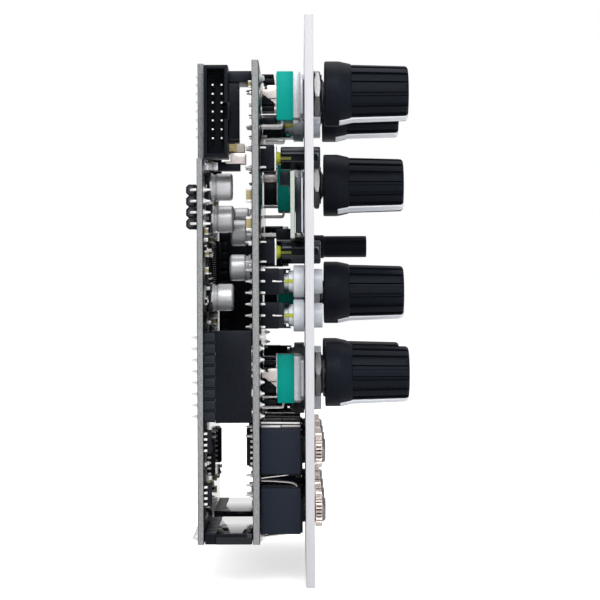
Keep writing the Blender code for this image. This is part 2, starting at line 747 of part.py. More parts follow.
def bus_header():
    x0 = -BOARD_EDGE - BUS_EDGE_INSET
    y1 = MAIN_FRONT - SEAT_GAP
    y0 = y1 - BUS_DEPTH
    middle = (y0 + y1) / 2
    half = BUS_LENGTH / 2
    shell = box(x0, x0 + BUS_REACH, y0, y1, BUS_HEIGHT - half, BUS_HEIGHT + half)
    inner = half - BUS_WALL
    cavity = box(
        x0 - OVERRUN, x0 + BUS_CAVITY, y0 + BUS_WALL, y1 - BUS_WALL, BUS_HEIGHT - inner, BUS_HEIGHT + inner
    )
    key = box(
        x0 - OVERRUN,
        x0 + BUS_KEY_DEPTH,
        y0 - OVERRUN,
        y0 + BUS_WALL + SINK,
        BUS_HEIGHT - BUS_KEY / 2,
        BUS_HEIGHT + BUS_KEY / 2,
    )
    shell_mesh = solid_mesh("shell", [shell], [cavity, key])
    hollow = bmesh.new()
    hollow.from_mesh(shell_mesh)
    bpy.data.meshes.remove(shell_mesh)
    floor = x0 + BUS_CAVITY
    side = BUS_PIN_SIDE / 2
    pins = [
        box(floor - BUS_PIN_REACH, floor + SINK, y - side, y + side, z - side, z + side)
        for y in (middle - BUS_PITCH / 2 - BUS_PIN_SHIFT, middle + BUS_PITCH / 2 - BUS_PIN_SHIFT)
        for z in [BUS_HEIGHT + step for step in row_of(BUS_PINS, BUS_PITCH)]
    ]
    return solid_mesh("bus_header", [hollow] + pins)


def rear_header():
    y0 = MAIN_REAR + SEAT_GAP
    middle = y0 + REAR_BASE_DEPTH / 2
    half = PIN_SIDE / 2
    adds = []
    for x, z in rear_header_pins():
        start = x + REAR_BASE_START
        end = start + REAR_BASE_LENGTH
        outline = chamfered(middle, z, REAR_BASE_DEPTH, PIN_PITCH + SINK, REAR_WAIST)
        adds.append(loft([[Vector((across, y, up)) for y, up in outline] for across in (start, end)]))
        adds.append(box(x - half, x + half, y0, middle + half, z - half, z + half))
        adds.append(box(x, start + SINK, middle - half, middle + half, z - half, z + half))
        adds.append(box(end - SINK, end + REAR_PIN_REACH, middle - half, middle + half, z - half, z + half))
    return solid_mesh("rear_header", adds)


# Potentiometers, nuts and knobs, each about its own axis


def pot():
    half = POT_HEIGHT / 2
    plate_end = SEAT_GAP + POT_PLATE
    inset = 2 * POT_PLATE_INSET
    back = 2 * POT_BACK_INSET
    bushing_front = PANEL_FRONT - BUSHING_PROUD
    bore = SHAFT_RADIUS + RUNNING_GAP
    adds = [
        block(0, -POT_DROP, POT_WIDTH, POT_HEIGHT, plate_end, POT_REAR),
        block(0, -POT_DROP, POT_WIDTH - inset, POT_HEIGHT - inset, SEAT_GAP, plate_end + SINK),
        block(0, -POT_DROP, POT_WIDTH - back, POT_HEIGHT - back, POT_REAR - SINK, POT_REAR + POT_BACK),
        turned(((BUSHING_RADIUS, bushing_front), (BUSHING_RADIUS, SEAT_GAP + SINK)), ROUND_SIDES),
    ]
    wide = LUG_HEIGHT / 2
    narrow = LUG_FOOT / 2
    taper = CONTROL_SEAT - LUG_TAPER
    start = POT_REAR - SINK
    lug = ((start, wide), (taper, wide), (CONTROL_SEAT, narrow), (CONTROL_SEAT, -narrow), (taper, -wide), (start, -wide))
    for side in (-1, 1):
        outer = side * (POT_WIDTH / 2 - LUG_INSET)
        inner = outer - side * LUG_THICKNESS
        adds.append(loft([[Vector((x, y, z)) for y, z in lug] for x in (inner, outer)]))
    foot = -POT_DROP - half - TERMINAL_DROP
    front = POT_REAR - TERMINAL_SETBACK
    for side in (-1, 0, 1):
        x0 = side * TERMINAL_PITCH - TERMINAL_WIDTH / 2
        x1 = x0 + TERMINAL_WIDTH
        adds.append(
            box(x0, x1, front, front + TERMINAL_THICKNESS, foot - TERMINAL_THICKNESS, -half)
        )
        adds.append(box(x0, x1, front, CONTROL_SEAT, foot - TERMINAL_THICKNESS, foot))
    bore_end = SHAFT_BEARING + RUNNING_GAP
    hole = turned(((bore, bushing_front - OVERRUN), (bore, bore_end)), ROUND_SIDES)
    return solid_mesh("pot", adds, [hole])


def nut():
    """A hexagon nut with its corners turned down at the front, and the washer under it."""
    washer_rear = PANEL_FRONT - SEAT_GAP
    washer_front = washer_rear - WASHER_THICKNESS
    front = washer_front - NUT_THICKNESS
    corner = NUT_ACROSS / 2 / math.cos(math.pi / 6)
    hexagon = loft(
        [
            ring([corner - NUT_CHAMFER] * 6, front),
            ring([corner] * 6, front + NUT_CHAMFER),
            ring([corner] * 6, washer_front + SINK),
        ]
    )
    washer = turned(((WASHER_RADIUS, washer_front), (WASHER_RADIUS, washer_rear)), ROUND_SIDES)
    bore = BUSHING_RADIUS + SEAT_GAP
    hole = turned(((bore, front - OVERRUN), (bore, washer_rear + OVERRUN)), ROUND_SIDES)
    return solid_mesh("nut", [hexagon, washer], [hole])


def knob_ring(radius, groove, y):
    """One ring round the knob: for each flute, a land and then a groove."""
    step = 2 * math.pi / FLUTES
    start = -FLUTE_LAND_SHARE / 2
    points = []
    for flute in range(FLUTES):
        for share, depth in (
            (start, 0),
            (-start, 0),
            (1 / 2, groove),
        ):
            angle = (flute + share) * step
            r = radius - depth
            points.append(Vector((r * math.sin(angle), y, r * math.cos(angle))))
    return points


def knob():
    """The skirt, the fluted body and the raised pointer, with the shaft that runs in the bushing."""
    foot = PANEL_FRONT - KNOB_STANDOFF
    tip = foot - KNOB_LENGTH
    shoulder = foot - SKIRT_LENGTH
    body = shoulder - SHOULDER_LENGTH
    shoulder_radius = BODY_RADIUS + FLUTE_LEDGE
    skirt = turned(
        ((SKIRT_RADIUS, foot), (SKIRT_RADIUS, shoulder), (shoulder_radius, body)), FINE_SIDES
    )
    fluted = loft(
        [
            knob_ring(BODY_RADIUS, FLUTE_DEPTH, body + SINK),
            knob_ring(TIP_RADIUS, FLUTE_DEPTH, tip + FLUTE_END),
            knob_ring(TIP_RADIUS - TIP_ROUND, 0, tip),
        ]
    )
    pointer = [
        (SKIRT_RADIUS + POINTER_PROUD, shoulder),
        (BODY_RADIUS + POINTER_PROUD, body),
        (TIP_RADIUS + POINTER_PROUD, tip + FLUTE_END),
        (TIP_RADIUS - POINTER_DEPTH, tip + FLUTE_END),
        (TIP_RADIUS - POINTER_DEPTH, shoulder),
    ]
    half = POINTER_WIDTH / 2
    stripe = loft([[Vector((x, y, r)) for r, y in pointer] for x in (-half, half)])
    hollow_wall = SKIRT_RADIUS - HOLLOW_WALL
    hollow = turned(
        (
            (HUB_RADIUS, foot + OVERRUN),
            (hollow_wall, foot + OVERRUN),
            (hollow_wall, foot - HOLLOW_DEPTH),
            (HUB_RADIUS, foot - HOLLOW_DEPTH),
        ),
        ROUND_SIDES,
        closed=True,
    )
    shaft = turned(((SHAFT_RADIUS, foot - SINK), (SHAFT_RADIUS, SHAFT_BEARING)), SMALL_SIDES)
    return solid_mesh("knob", [skirt, fluted, stripe, shaft], [hollow])


# Trimmer


def trimmer_body():
    front = CONTROL_SEAT - TRIMMER_BODY_DEPTH
    neck = front - TRIMMER_NECK
    outline = chamfered(0, 0, TRIMMER_BODY_WIDTH, TRIMMER_BODY_HEIGHT, PUSH_CORNER)
    adds = [
        extruded(outline, front, CONTROL_SEAT),
        turned(((TRIMMER_NECK_RADIUS, neck), (TRIMMER_NECK_RADIUS, front + SINK)), ROUND_SIDES),
    ]
    bore = TRIMMER_RADIUS + RUNNING_GAP + SINK
    end = neck + TRIMMER_BEARING + RUNNING_GAP
    hole = turned(((bore, neck - OVERRUN), (bore, end)), ROUND_SIDES)
    return solid_mesh("trimmer_body", adds, [hole])


def trimmer_shaft():
    rear = CONTROL_SEAT - TRIMMER_BODY_DEPTH - TRIMMER_NECK + TRIMMER_BEARING
    tip = PANEL_FRONT - TRIMMER_PROUD
    collar = PANEL_FRONT - TRIMMER_COLLAR_LENGTH
    profile = (
        (TRIMMER_RADIUS, rear),
        (TRIMMER_RADIUS, 0),
        (TRIMMER_RADIUS + TRIMMER_COLLAR, 0),
        (TRIMMER_RADIUS + TRIMMER_COLLAR, collar),
        (TRIMMER_RADIUS, collar),
        (TRIMMER_RADIUS, tip + TRIMMER_EDGE),
        (TRIMMER_RADIUS - TRIMMER_EDGE, tip),
    )
    slot = block(
        0, TRIMMER_RADIUS / 2, TRIMMER_SLOT, TRIMMER_RADIUS, tip - OVERRUN, tip + TRIMMER_SLOT_DEPTH
    )
    return solid_mesh("trimmer_shaft", [turned(profile, ROUND_SIDES)], [slot])


# Push switches


def push_switch():
    front = CONTROL_SEAT - PUSH_DEPTH
    outline = chamfered(0, 0, PUSH_SIDE, PUSH_SIDE, PUSH_CORNER)
    adds = [extruded(outline, front, CONTROL_SEAT)]
    side = PUSH_SIDE / 2
    for z in (-PUSH_LEG_PITCH / 2, PUSH_LEG_PITCH / 2):
        reach = 2 * (side + PUSH_LEG_REACH)
        adds.append(
            block(0, z, reach, PUSH_LEG_WIDTH, CONTROL_SEAT - PUSH_LEG_REACH, CONTROL_SEAT)
        )
    bore = PUSH_STEM_RADIUS + RUNNING_GAP
    end = front + PUSH_STEM_SEAT + PUSH_TRAVEL + RUNNING_GAP
    hole = turned(((bore, front - OVERRUN), (bore, end)), HOLE_SIDES)
    return solid_mesh("push_switch", adds, [hole])


def push_cap():
    front = CONTROL_SEAT - PUSH_DEPTH
    tip = PANEL_FRONT - PUSH_CAP_PROUD
    cap_rear = front - PUSH_STEM_SHOWN
    profile = (
        (PUSH_STEM_RADIUS, front + PUSH_STEM_SEAT),
        (PUSH_STEM_RADIUS, cap_rear),
        (PUSH_CAP_RADIUS, cap_rear),
        (PUSH_CAP_RADIUS, tip + PUSH_CAP_ROUND),
        (PUSH_CAP_RADIUS - PUSH_CAP_ROUND, tip),
    )
    return solid_mesh("push_cap", [turned(profile, ROUND_SIDES)])


# Lit buttons


def lit_switch():
    front = CONTROL_SEAT - LIT_DEPTH
    half = LIT_SIDE / 2
    rail_front = front - LIT_RAIL_LENGTH
    adds = [block(0, 0, LIT_SIDE, LIT_SIDE, front, CONTROL_SEAT)]
    inner = half - LIT_RAIL_THICKNESS
    cut = rail_front + LIT_RAIL_CHAMFER
    for side in (-1, 1):
        rail = ((inner, front + SINK), (inner, cut), (half - SINK, rail_front), (half - SINK, front + SINK))
        adds.append(loft([[Vector((x, y, side * z)) for z, y in rail] for x in (SINK - half, half - SINK)]))
    bore = LIT_STEM_RADIUS + RUNNING_GAP
    end = front + LIT_STEM_SEAT + LIT_TRAVEL + RUNNING_GAP
    hole = turned(((bore, front - OVERRUN), (bore, end)), HOLE_SIDES)
    return solid_mesh("lit_switch", adds, [hole])


def lit_cap():
    """Stem, neck between the rails, flange behind the panel and the round face in front of it."""
    front = CONTROL_SEAT - LIT_DEPTH
    flange_front = SEAT_GAP
    flange_rear = flange_front + LIT_FLANGE_LENGTH
    neck_rear = flange_rear + LIT_NECK_LENGTH
    tip = PANEL_FRONT - LIT_CAP_PROUD
    profile = (
        (LIT_STEM_RADIUS, front + LIT_STEM_SEAT),
        (LIT_STEM_RADIUS, neck_rear),
        (LIT_NECK_RADIUS, neck_rear),
        (LIT_NECK_RADIUS, flange_rear),
        (LIT_FLANGE_RADIUS, flange_rear),
        (LIT_FLANGE_RADIUS, flange_front),
        (LIT_CAP_RADIUS, flange_front),
        (LIT_CAP_RADIUS, tip + LIT_CAP_ROUND),
        (LIT_CAP_RADIUS - LIT_CAP_ROUND, tip),
    )
    return solid_mesh("lit_cap", [turned(profile, SMALL_SIDES)])


# Display


def display_parts():
    """The display's board with its rear plug, and the glass in front of it."""
    x = LEFT_EDGE + DISPLAY_INSET + DISPLAY_WIDTH / 2
    glass_rear = SEAT_GAP + GLASS_THICKNESS
    board_front = glass_rear + SEAT_GAP
    board_rear = board_front + DISPLAY_THICKNESS
    plug_rear = board_rear + PLUG_DEPTH
    low = DISPLAY_ROW - DISPLAY_HEIGHT / 2
    plug_row = low + PLUG_HEIGHT / 2
    adds = [
        block(x, DISPLAY_ROW, DISPLAY_WIDTH, DISPLAY_HEIGHT, board_front, board_rear),
        block(x, plug_row, PLUG_PINS * PIN_PITCH, PLUG_HEIGHT, board_rear - SINK, plug_rear),
    ]
    for step in row_of(PLUG_PINS, PIN_PITCH):
        adds.append(
            block(x + step, plug_row, PIN_SIDE, PIN_SIDE, plug_rear - SINK, CONTROL_SEAT)
        )
    glass = block(x, DISPLAY_ROW, GLASS_WIDTH, GLASS_HEIGHT, SEAT_GAP, glass_rear)
    return solid_mesh("display_board", adds), solid_mesh("display_screen", [glass])


# Jacks


def jack():
    """Body on the control board, barrel through the panel, knurled nut in front, ground strip above."""
    half = JACK_HEIGHT / 2
    tip = PANEL_FRONT - JACK_BARREL_PROUD
    nut_rear = PANEL_FRONT - SEAT_GAP
    outline = chamfered(0, 0, JACK_WIDTH, JACK_HEIGHT, JACK_CORNER)
    knurls = [JACK_NUT_RADIUS, JACK_NUT_RADIUS - JACK_KNURL_DEPTH] * JACK_KNURLS
    adds = [
        extruded(outline, JACK_FRONT, CONTROL_SEAT),
        turned(((JACK_BARREL_RADIUS, tip), (JACK_BARREL_RADIUS, JACK_FRONT + SINK)), SMALL_SIDES),
        loft([ring(knurls, nut_rear - JACK_NUT_THICKNESS), ring(knurls, nut_rear)]),
        block(
            0,
            half + (STRIP_RISE - SINK) / 2,
            STRIP_WIDTH,
            STRIP_RISE + SINK,
            JACK_FRONT + STRIP_START,
            CONTROL_SEAT,
        ),
    ]
    bore_end = CONTROL_SEAT - JACK_BORE_END
    hole = turned(((JACK_BORE_RADIUS, tip - OVERRUN), (JACK_BORE_RADIUS, bore_end)), HOLE_SIDES)
    return solid_mesh("jack", adds, [hole])


def main():
    clear_scene()
    root = bpy.data.objects.new("module", None)
    bpy.context.scene.collection.objects.link(root)

    aluminium = material("aluminium", (0.75, 0.75, 0.78), 0.35, 1.0)
    board = material("circuit_board", (0.03, 0.035, 0.04), 0.5)
    plastic = material("black_plastic", (0.02, 0.022, 0.028), 0.45)
    knob_plastic = material("knob_plastic", (0.015, 0.016, 0.02), 0.4)
    green = material("pot_green", (0.0, 0.42, 0.32), 0.4)
    nickel = material("nickel", (0.72, 0.7, 0.7), 0.25, 1.0)
    clear_cap = material("translucent_cap", (0.85, 0.87, 0.9), 0.3)
    glass = material("glass", (0.01, 0.01, 0.012), 0.08)

    place("front_panel", front_panel(), aluminium)
    place("control_board", control_board(), board)
    place("main_board", main_board(), board)
    display_board, display_screen = display_parts()
    place("display_board", display_board, board)
    place("display_screen", display_screen, glass)
    for side in ("left", "right"):
        pins = bottom_header_pins(side)
        place(f"bottom_{side}_socket", socket("socket", pins), plastic)
        place(f"bottom_{side}_pins", pin_base("pins", pins), plastic)
    place("edge_socket", socket("socket", edge_header_pins()), plastic)
    place("edge_pins", pin_base("pins", edge_header_pins(), waisted=True), plastic)
    place("far_header", joined_header("far_header", far_header_pins()), plastic)
    place("top_header", joined_header("top_header", top_header_pins()), plastic)
    place("bus_header", bus_header(), plastic)
    place("rear_header", rear_header(), plastic)
    can_mesh = capacitor()
    for name, (inset, height) in MAIN_CANS.items():
        place(f"capacitor_{name}", can_mesh, nickel, LEFT_EDGE + inset, height)

    pot_mesh = pot()
    nut_mesh = nut()
    knob_mesh = knob()
    for name, (x, height) in POTS.items():
        place(f"pot_{name}", pot_mesh, green, x, height)
        place(f"nut_{name}", nut_mesh, nickel, x, height, NUT_TURNS[name])
        place(f"knob_{name}", knob_mesh, knob_plastic, x, height, POINTER_REST)
    place("trimmer_body", trimmer_body(), plastic, KNOB_COLUMN, TRIMMER_ROW)
    place("trimmer_shaft", trimmer_shaft(), plastic, KNOB_COLUMN, TRIMMER_ROW, POINTER_REST)

    switch_mesh = push_switch()
    cap_mesh = push_cap()
    for name, height in PUSH_ROWS.items():
        place(f"push_switch_{name}", switch_mesh, plastic, BUTTON_COLUMN, height)
        place(f"push_cap_{name}", cap_mesh, plastic, BUTTON_COLUMN, height)
    switch_mesh = lit_switch()
    cap_mesh = lit_cap()
    for name, (x, height) in LIT_BUTTONS.items():
        place(f"lit_switch_{name}", switch_mesh, plastic, x, height)
        place(f"lit_cap_{name}", cap_mesh, clear_cap, x, height)
    jack_mesh = jack()
    for number, (x, height) in enumerate(JACKS, 1):
        place(f"jack_{number}", jack_mesh, plastic, x, height)


main()
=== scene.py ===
# Looks of a Eurorack synthesiser module: every piece in full detail, its materials, light and camera.
# Lengths are in millimetres and become metres where a mesh is made. +Z up, and the panel's front faces -Y.
# Heights are given from the middle of the panel.

import json
import math
import random

import bmesh
import bpy
from mathutils import Matrix, Vector

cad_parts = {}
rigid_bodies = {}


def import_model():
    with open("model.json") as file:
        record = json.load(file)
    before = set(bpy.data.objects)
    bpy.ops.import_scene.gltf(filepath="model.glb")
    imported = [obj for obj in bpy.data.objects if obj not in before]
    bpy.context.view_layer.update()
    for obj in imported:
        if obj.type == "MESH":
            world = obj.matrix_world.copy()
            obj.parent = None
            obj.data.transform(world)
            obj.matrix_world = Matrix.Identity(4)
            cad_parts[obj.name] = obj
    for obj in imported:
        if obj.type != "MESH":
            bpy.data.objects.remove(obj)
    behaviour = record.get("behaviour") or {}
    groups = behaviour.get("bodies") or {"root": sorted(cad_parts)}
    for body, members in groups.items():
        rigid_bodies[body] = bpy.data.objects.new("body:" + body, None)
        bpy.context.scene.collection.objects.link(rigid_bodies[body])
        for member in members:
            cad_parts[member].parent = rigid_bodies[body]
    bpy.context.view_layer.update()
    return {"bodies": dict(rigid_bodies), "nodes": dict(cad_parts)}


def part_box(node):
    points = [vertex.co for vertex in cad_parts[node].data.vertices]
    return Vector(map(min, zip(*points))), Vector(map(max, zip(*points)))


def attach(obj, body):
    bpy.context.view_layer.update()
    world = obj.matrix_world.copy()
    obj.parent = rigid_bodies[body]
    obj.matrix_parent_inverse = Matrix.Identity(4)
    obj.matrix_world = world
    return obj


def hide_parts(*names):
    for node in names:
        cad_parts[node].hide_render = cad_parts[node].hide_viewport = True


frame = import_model()

MM = 0.001
MID_Z = 61.25  # the panel's middle above the frame's origin
SINK = 0.1  # how far the shapes of one piece run into each other
EDGE = 0.12  # usual rounding of a moulded edge
ROUND = 64  # sides of a round part that shows
HEXAGON = 6
CORNERS = ((1, 1), (-1, 1), (-1, -1), (1, -1))
PANEL_FRONT = -2.0
CONTROL_FRONT = 10.3
CONTROL_REAR = 11.9
MAIN_FRONT = 22.9
MAIN_REAR = 24.3
BOARD_EDGE = 39.75
BOARD_BOTTOM = -54.7
CONTROL_TOP = 54.2
MAIN_TOP = 54.0
SEAT = 0.2  # gap between a piece and what it stands on
CONTROL_SEAT = CONTROL_FRONT - SEAT
PITCH = 2.54
FLOOR_GLOW = 0.65
FLOOR_WHITE = 0.7
FLOOR_REACH = 3.0  # metres from the middle to each side
FLOOR_GAP = 0.1  # between the floor and the panel
WORLD_LIGHT = 0.55

random.seed(7)


def corners_of(node):
    """Low and high corner of a CAD node."""
    lift = Vector((0, 0, MID_Z))
    low, high = (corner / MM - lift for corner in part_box(node))
    return low, high


def middle(node):
    """Middle of a CAD node across and up."""
    low, high = corners_of(node)
    return (low.x + high.x) / 2, (low.z + high.z) / 2


# Materials


class Nodes:
    """The nodes of a material or a world, and the means to add to them."""

    def __init__(self, made, shader="Principled BSDF"):
        self.made = made
        made.use_nodes = True
        self.tree = made.node_tree
        self.shader = self.tree.nodes[shader]

    def add(self, kind, settings=None, **inputs):
        node = self.tree.nodes.new(kind)
        for name, value in (settings or {}).items():
            setattr(node, name, value)
        for name, value in inputs.items():
            self.put(node.inputs[name.replace("_", " ")], value)
        return node

    def put(self, socket, value):
        if isinstance(value, bpy.types.NodeSocket):
            self.tree.links.new(value, socket)
        else:
            socket.default_value = value

    def where(self, kind="Object"):
        return self.add("ShaderNodeTexCoord").outputs[kind]

    def noise(self, grain, stretch=(1, 1, 1), detail=3.0):
        """Noise in object space. Its grain is a length, longer along an axis where stretch is over 1."""
        scale = [1 / (grain * MM * share) for share in stretch]
        mapped = self.add("ShaderNodeMapping", Vector=self.where(), Scale=scale)
        made = self.add("ShaderNodeTexNoise", Vector=mapped.outputs[0], Scale=1.0, Detail=detail)
        return made.outputs[0]

    def ranged(self, value, low, high, start=0.3, end=0.7):
        inputs = {"From_Min": start, "From_Max": end, "To_Min": low, "To_Max": high}
        return self.add("ShaderNodeMapRange", Value=value, **inputs).outputs[0]

    def combined(self, operation, first, second):
        made = self.add("ShaderNodeMath", {"operation": operation})
        self.put(made.inputs[0], first)
        self.put(made.inputs[1], second)
        return made.outputs[0]

    def mixed(self, share, first, second):
        made = self.add("ShaderNodeMix", {"data_type": "RGBA"})
        self.put(made.inputs[0], share)
        for socket, colour in ((made.inputs[6], first), (made.inputs[7], second)):
            self.put(socket, colour if isinstance(colour, bpy.types.NodeSocket) else (*colour, 1))
        return made.outputs[2]

    def bump(self, height, depth, under=None):
        made = self.add("ShaderNodeBump", Height=height, Distance=depth * MM, Strength=1.0)
        if under:
            self.put(made.inputs["Normal"], under)
        return made.outputs[0]

    def set(self, **inputs):
        for name, value in inputs.items():
            self.put(self.shader.inputs[name.replace("_", " ")], value)


def material(name):
    return Nodes(bpy.data.materials.new(name))


def surface(name, colour, other, roughness, metallic=0.0, depth=0.01, stretch=(1, 1, 1),
            grain=0.5, spread=0.08, specular=0.5, tint=(1, 1, 1)):
    """Two close colours in patches, uneven roughness, and a fine bump over a coarser one."""
    nodes = material(name)
    patches = nodes.noise(grain, stretch)
    grains = nodes.noise(0.06, stretch, 2.0)
    share = nodes.ranged(patches, 0.0, 1.0)
    rough = nodes.ranged(grains, roughness - spread, roughness + spread)
    relief = nodes.bump(grains, depth / 2, nodes.bump(patches, depth))
    nodes.set(Base_Color=nodes.mixed(share, colour, other), Roughness=rough, Metallic=metallic)
    nodes.set(Normal=relief, Specular_IOR_Level=specular, Specular_Tint=(*tint, 1))
    return nodes


def laminate_look():
    """Sawn edge of a board: glass cloth in layers, with pale and dark threads."""
    nodes = material("laminate")
    layers = nodes.noise(0.3, (4, 0.5, 4))
    speckle = nodes.noise(0.16, detail=4.0)
    base = nodes.mixed(nodes.ranged(layers, 0, 1), (0.17, 0.175, 0.18), (0.27, 0.275, 0.28))
    both = nodes.mixed(nodes.ranged(speckle, 0, 0.7, 0.48, 0.7), base, (0.42, 0.42, 0.425))
    dark = nodes.mixed(nodes.ranged(speckle, 0.6, 0, 0.3, 0.44), both, (0.10, 0.10, 0.10))
    nodes.set(Base_Color=dark, Roughness=0.75, Specular_IOR_Level=0.3)
    nodes.set(Normal=nodes.bump(speckle, 0.03))
    return nodes.made


def mask_look():
    """Black solder mask over copper: islands of copper and tracks stand slightly proud."""
    nodes = material("solder_mask")
    where = nodes.where()
    settings = {"distance": "CHEBYCHEV"}
    islands = nodes.add("ShaderNodeTexVoronoi", settings, Vector=where, Scale=1 / (5 * MM))
    raised = nodes.ranged(islands.outputs["Distance"], 1, 0, 0.42, 0.47)
    tracks = nodes.add("ShaderNodeTexBrick", Vector=where, Scale=1 / (7 * MM), Mortar_Size=0.03)
    relief = nodes.bump(raised, 0.012, nodes.bump(tracks.outputs["Fac"], 0.01))
    nodes.set(Roughness=nodes.ranged(nodes.noise(0.4), 0.12, 0.2), Normal=relief)
    nodes.set(Base_Color=nodes.mixed(raised, (0.009, 0.011, 0.014), (0.016, 0.019, 0.024)))
    return nodes.made


def translucent_look(name, colour, other):
    """Milky clear moulding that lets light through."""
    nodes = material(name)
    shade = nodes.mixed(nodes.ranged(nodes.noise(1.5), 0, 1), colour, other)
    nodes.set(Base_Color=shade, Roughness=0.3, Transmission_Weight=0.12, IOR=1.45)
    nodes.set(Normal=nodes.bump(nodes.noise(0.5), 0.01))
    return nodes.made


def glass_look():
    nodes = material("display_glass")
    smears = nodes.noise(3, (1, 1, 2))
    nodes.set(Base_Color=(0.006, 0.007, 0.01, 1), Roughness=nodes.ranged(smears, 0.04, 0.1))
    nodes.set(Coat_Weight=0.6, Coat_Roughness=0.03)
    return nodes.made


def lit_floor_look():
    """Pale floor that shows as white, and keeps a soft shadow."""
    nodes = material("floor")
    path = nodes.add("ShaderNodeLightPath").outputs
    across = nodes.add("ShaderNodeSeparateXYZ", Vector=nodes.where()).outputs[0]
    far_share = nodes.ranged(across, 0.1, 1.0, -0.1, 0.2)
    mirrored = nodes.combined("MULTIPLY", path["Is Glossy Ray"], far_share)
    seen = nodes.combined("MAXIMUM", path["Is Camera Ray"], mirrored)
    seen = nodes.combined("MAXIMUM", seen, path["Is Transmission Ray"])
    glow = nodes.combined("MULTIPLY", seen, FLOOR_GLOW)
    nodes.set(Base_Color=(*(FLOOR_WHITE,) * 3, 1), Roughness=1.0, Specular_IOR_Level=0.0)
    nodes.set(Emission_Color=(1, 1, 1, 1), Emission_Strength=glow)
    return nodes.made


# Two colours, roughness, specular level
PLASTICS = {
    "header": ((0.003, 0.004, 0.006), (0.006, 0.007, 0.010), 0.34, 0.12),
    # painted_sheen_header: a lighter black for the rear header's cell faces, a painted sheen
    "painted_sheen_header": ((0.03, 0.032, 0.036), (0.06, 0.062, 0.066), 0.5, 0.2),
    "header_grey": ((0.009, 0.011, 0.016), (0.013, 0.015, 0.021), 0.42, 0.2),
    "knob": ((0.003, 0.004, 0.007), (0.0055, 0.007, 0.0115), 0.5, 0.11),
    "jack": ((0.012, 0.015, 0.024), (0.016, 0.020, 0.030), 0.5, 0.1),
    "chip": ((0.006, 0.006, 0.008), (0.010, 0.010, 0.012), 0.6, 0.2),
    "tantalum": ((0.42, 0.32, 0.13), (0.55, 0.44, 0.22), 0.5, 0.4),
    "gloss_black": ((0.003, 0.0035, 0.005), (0.006, 0.0065, 0.009), 0.2, 0.4),
    "ink": ((0.02, 0.021, 0.025), (0.03, 0.031, 0.035), 0.6, 0.3),
    "olive": ((0.09, 0.10, 0.01), (0.16, 0.17, 0.02), 0.4, 0.3),
    "green": ((0.0, 0.385, 0.32), (0.0, 0.43, 0.36), 0.5, 0.12),
    "led": ((0.36, 0.40, 0.02), (0.48, 0.50, 0.06), 0.3, 0.3),
    "ceramic": ((0.30, 0.25, 0.11), (0.42, 0.35, 0.17), 0.55, 0.4),
    "pale_board": ((0.34, 0.38, 0.34), (0.47, 0.51, 0.46), 0.6, 0.4),
    # cream: a pale block at one end of the tantalum part, a painted highlight
    "cream": ((0.60, 0.56, 0.50), (0.70, 0.66, 0.60), 0.5, 0.4),
    "lit_area": ((0.02, 0.025, 0.035), (0.028, 0.034, 0.045), 0.3, 0.5),
}
# Two colours, roughness, metallic share, depth of the bump, and stretch of the grain where it has one
METALS = {
    "tin": ((0.84, 0.82, 0.82), (0.72, 0.70, 0.70), 0.3, 0.45, 0.03),
    # painted_light_tin: white, hardly metallic tin, a painted glint on the shrouded pins' ends and painted
    # light on the jacks' shaded wires
    "painted_light_tin": ((0.9, 0.9, 0.9), (0.85, 0.85, 0.85), 0.4, 0.1, 0.002),
    "nickel": ((0.80, 0.76, 0.74), (0.66, 0.63, 0.61), 0.24, 0.9, 0.008),
    "warm_nickel": ((0.82, 0.72, 0.67), (0.55, 0.47, 0.43), 0.3, 0.8, 0.01),
    "steel": ((0.74, 0.75, 0.79), (0.62, 0.63, 0.67), 0.36, 0.7, 0.012),
    # dark_steel: near-black steel, painted shade where it stands for metal in shade, such as the pot's
    # bushing and the shaft under the knob
    "dark_steel": ((0.030, 0.030, 0.034), (0.018, 0.018, 0.022), 0.4, 0.3, 0.006),
    "can": ((0.86, 0.865, 0.89), (0.78, 0.785, 0.81), 0.44, 0.52, 0.008, (20, 0.4, 20)),
    "rose": ((0.74, 0.68, 0.66), (0.62, 0.56, 0.54), 0.35, 0.6, 0.01),
    "copper": ((0.70, 0.50, 0.40), (0.58, 0.40, 0.32), 0.28, 1.0, 0.006),
    "aluminium": ((0.56, 0.56, 0.59), (0.53, 0.53, 0.56), 0.62, 0.06, 0.004, (1, 1, 12)),
    # dark_nickel_and_painted_shade: a dark nickel for the nuts and jack barrels, and painted shade on the
    # shrouded header's pins
    "dark_nickel_and_painted_shade": ((0.24, 0.237, 0.24), (0.18, 0.178, 0.18), 0.32, 0.9, 0.01),
}


def all_looks():
    white = surface("pointer_white", (0.82, 0.84, 0.90), (0.76, 0.78, 0.85), 0.5, depth=0.004)
    cap = ((0.52, 0.55, 0.60), (0.44, 0.47, 0.52))
    # The flange's colours are lighter than the cap's: painted light on the part of the moulding that sits in
    # shade behind the panel.
    flange = ((0.76, 0.78, 0.83), (0.67, 0.70, 0.76))
    looks = {
        "laminate": laminate_look(),
        "mask": mask_look(),
        "translucent": translucent_look("translucent_cap", *cap),
        "painted_light_translucent": translucent_look("translucent_flange_painted_light", *flange),
        "glass": glass_look(),
        "white": white.made,
    }
    for name, (colour, other, roughness, specular) in PLASTICS.items():
        # Near-black plastics tint their reflections blue: a painted cool cast of the light.
        tint = (0.8, 0.87, 1.0) if max(colour) < 0.05 else (1, 1, 1)
        looks[name] = surface(name, colour, other, roughness, specular=specular, tint=tint).made
    for name, values in METALS.items():
        looks[name] = surface(name, *values, grain=0.4).made
    smooth = surface("smooth_header", (0.004, 0.005, 0.008), (0.007, 0.008, 0.012), 0.1,
                     depth=0.0005, spread=0.02)
    smooth.set(Coat_Weight=1.0, Coat_Roughness=0.05, Coat_IOR=1.3, Specular_IOR_Level=0.1)
    looks["smooth_header"] = smooth.made
    return looks


LOOKS = all_looks()


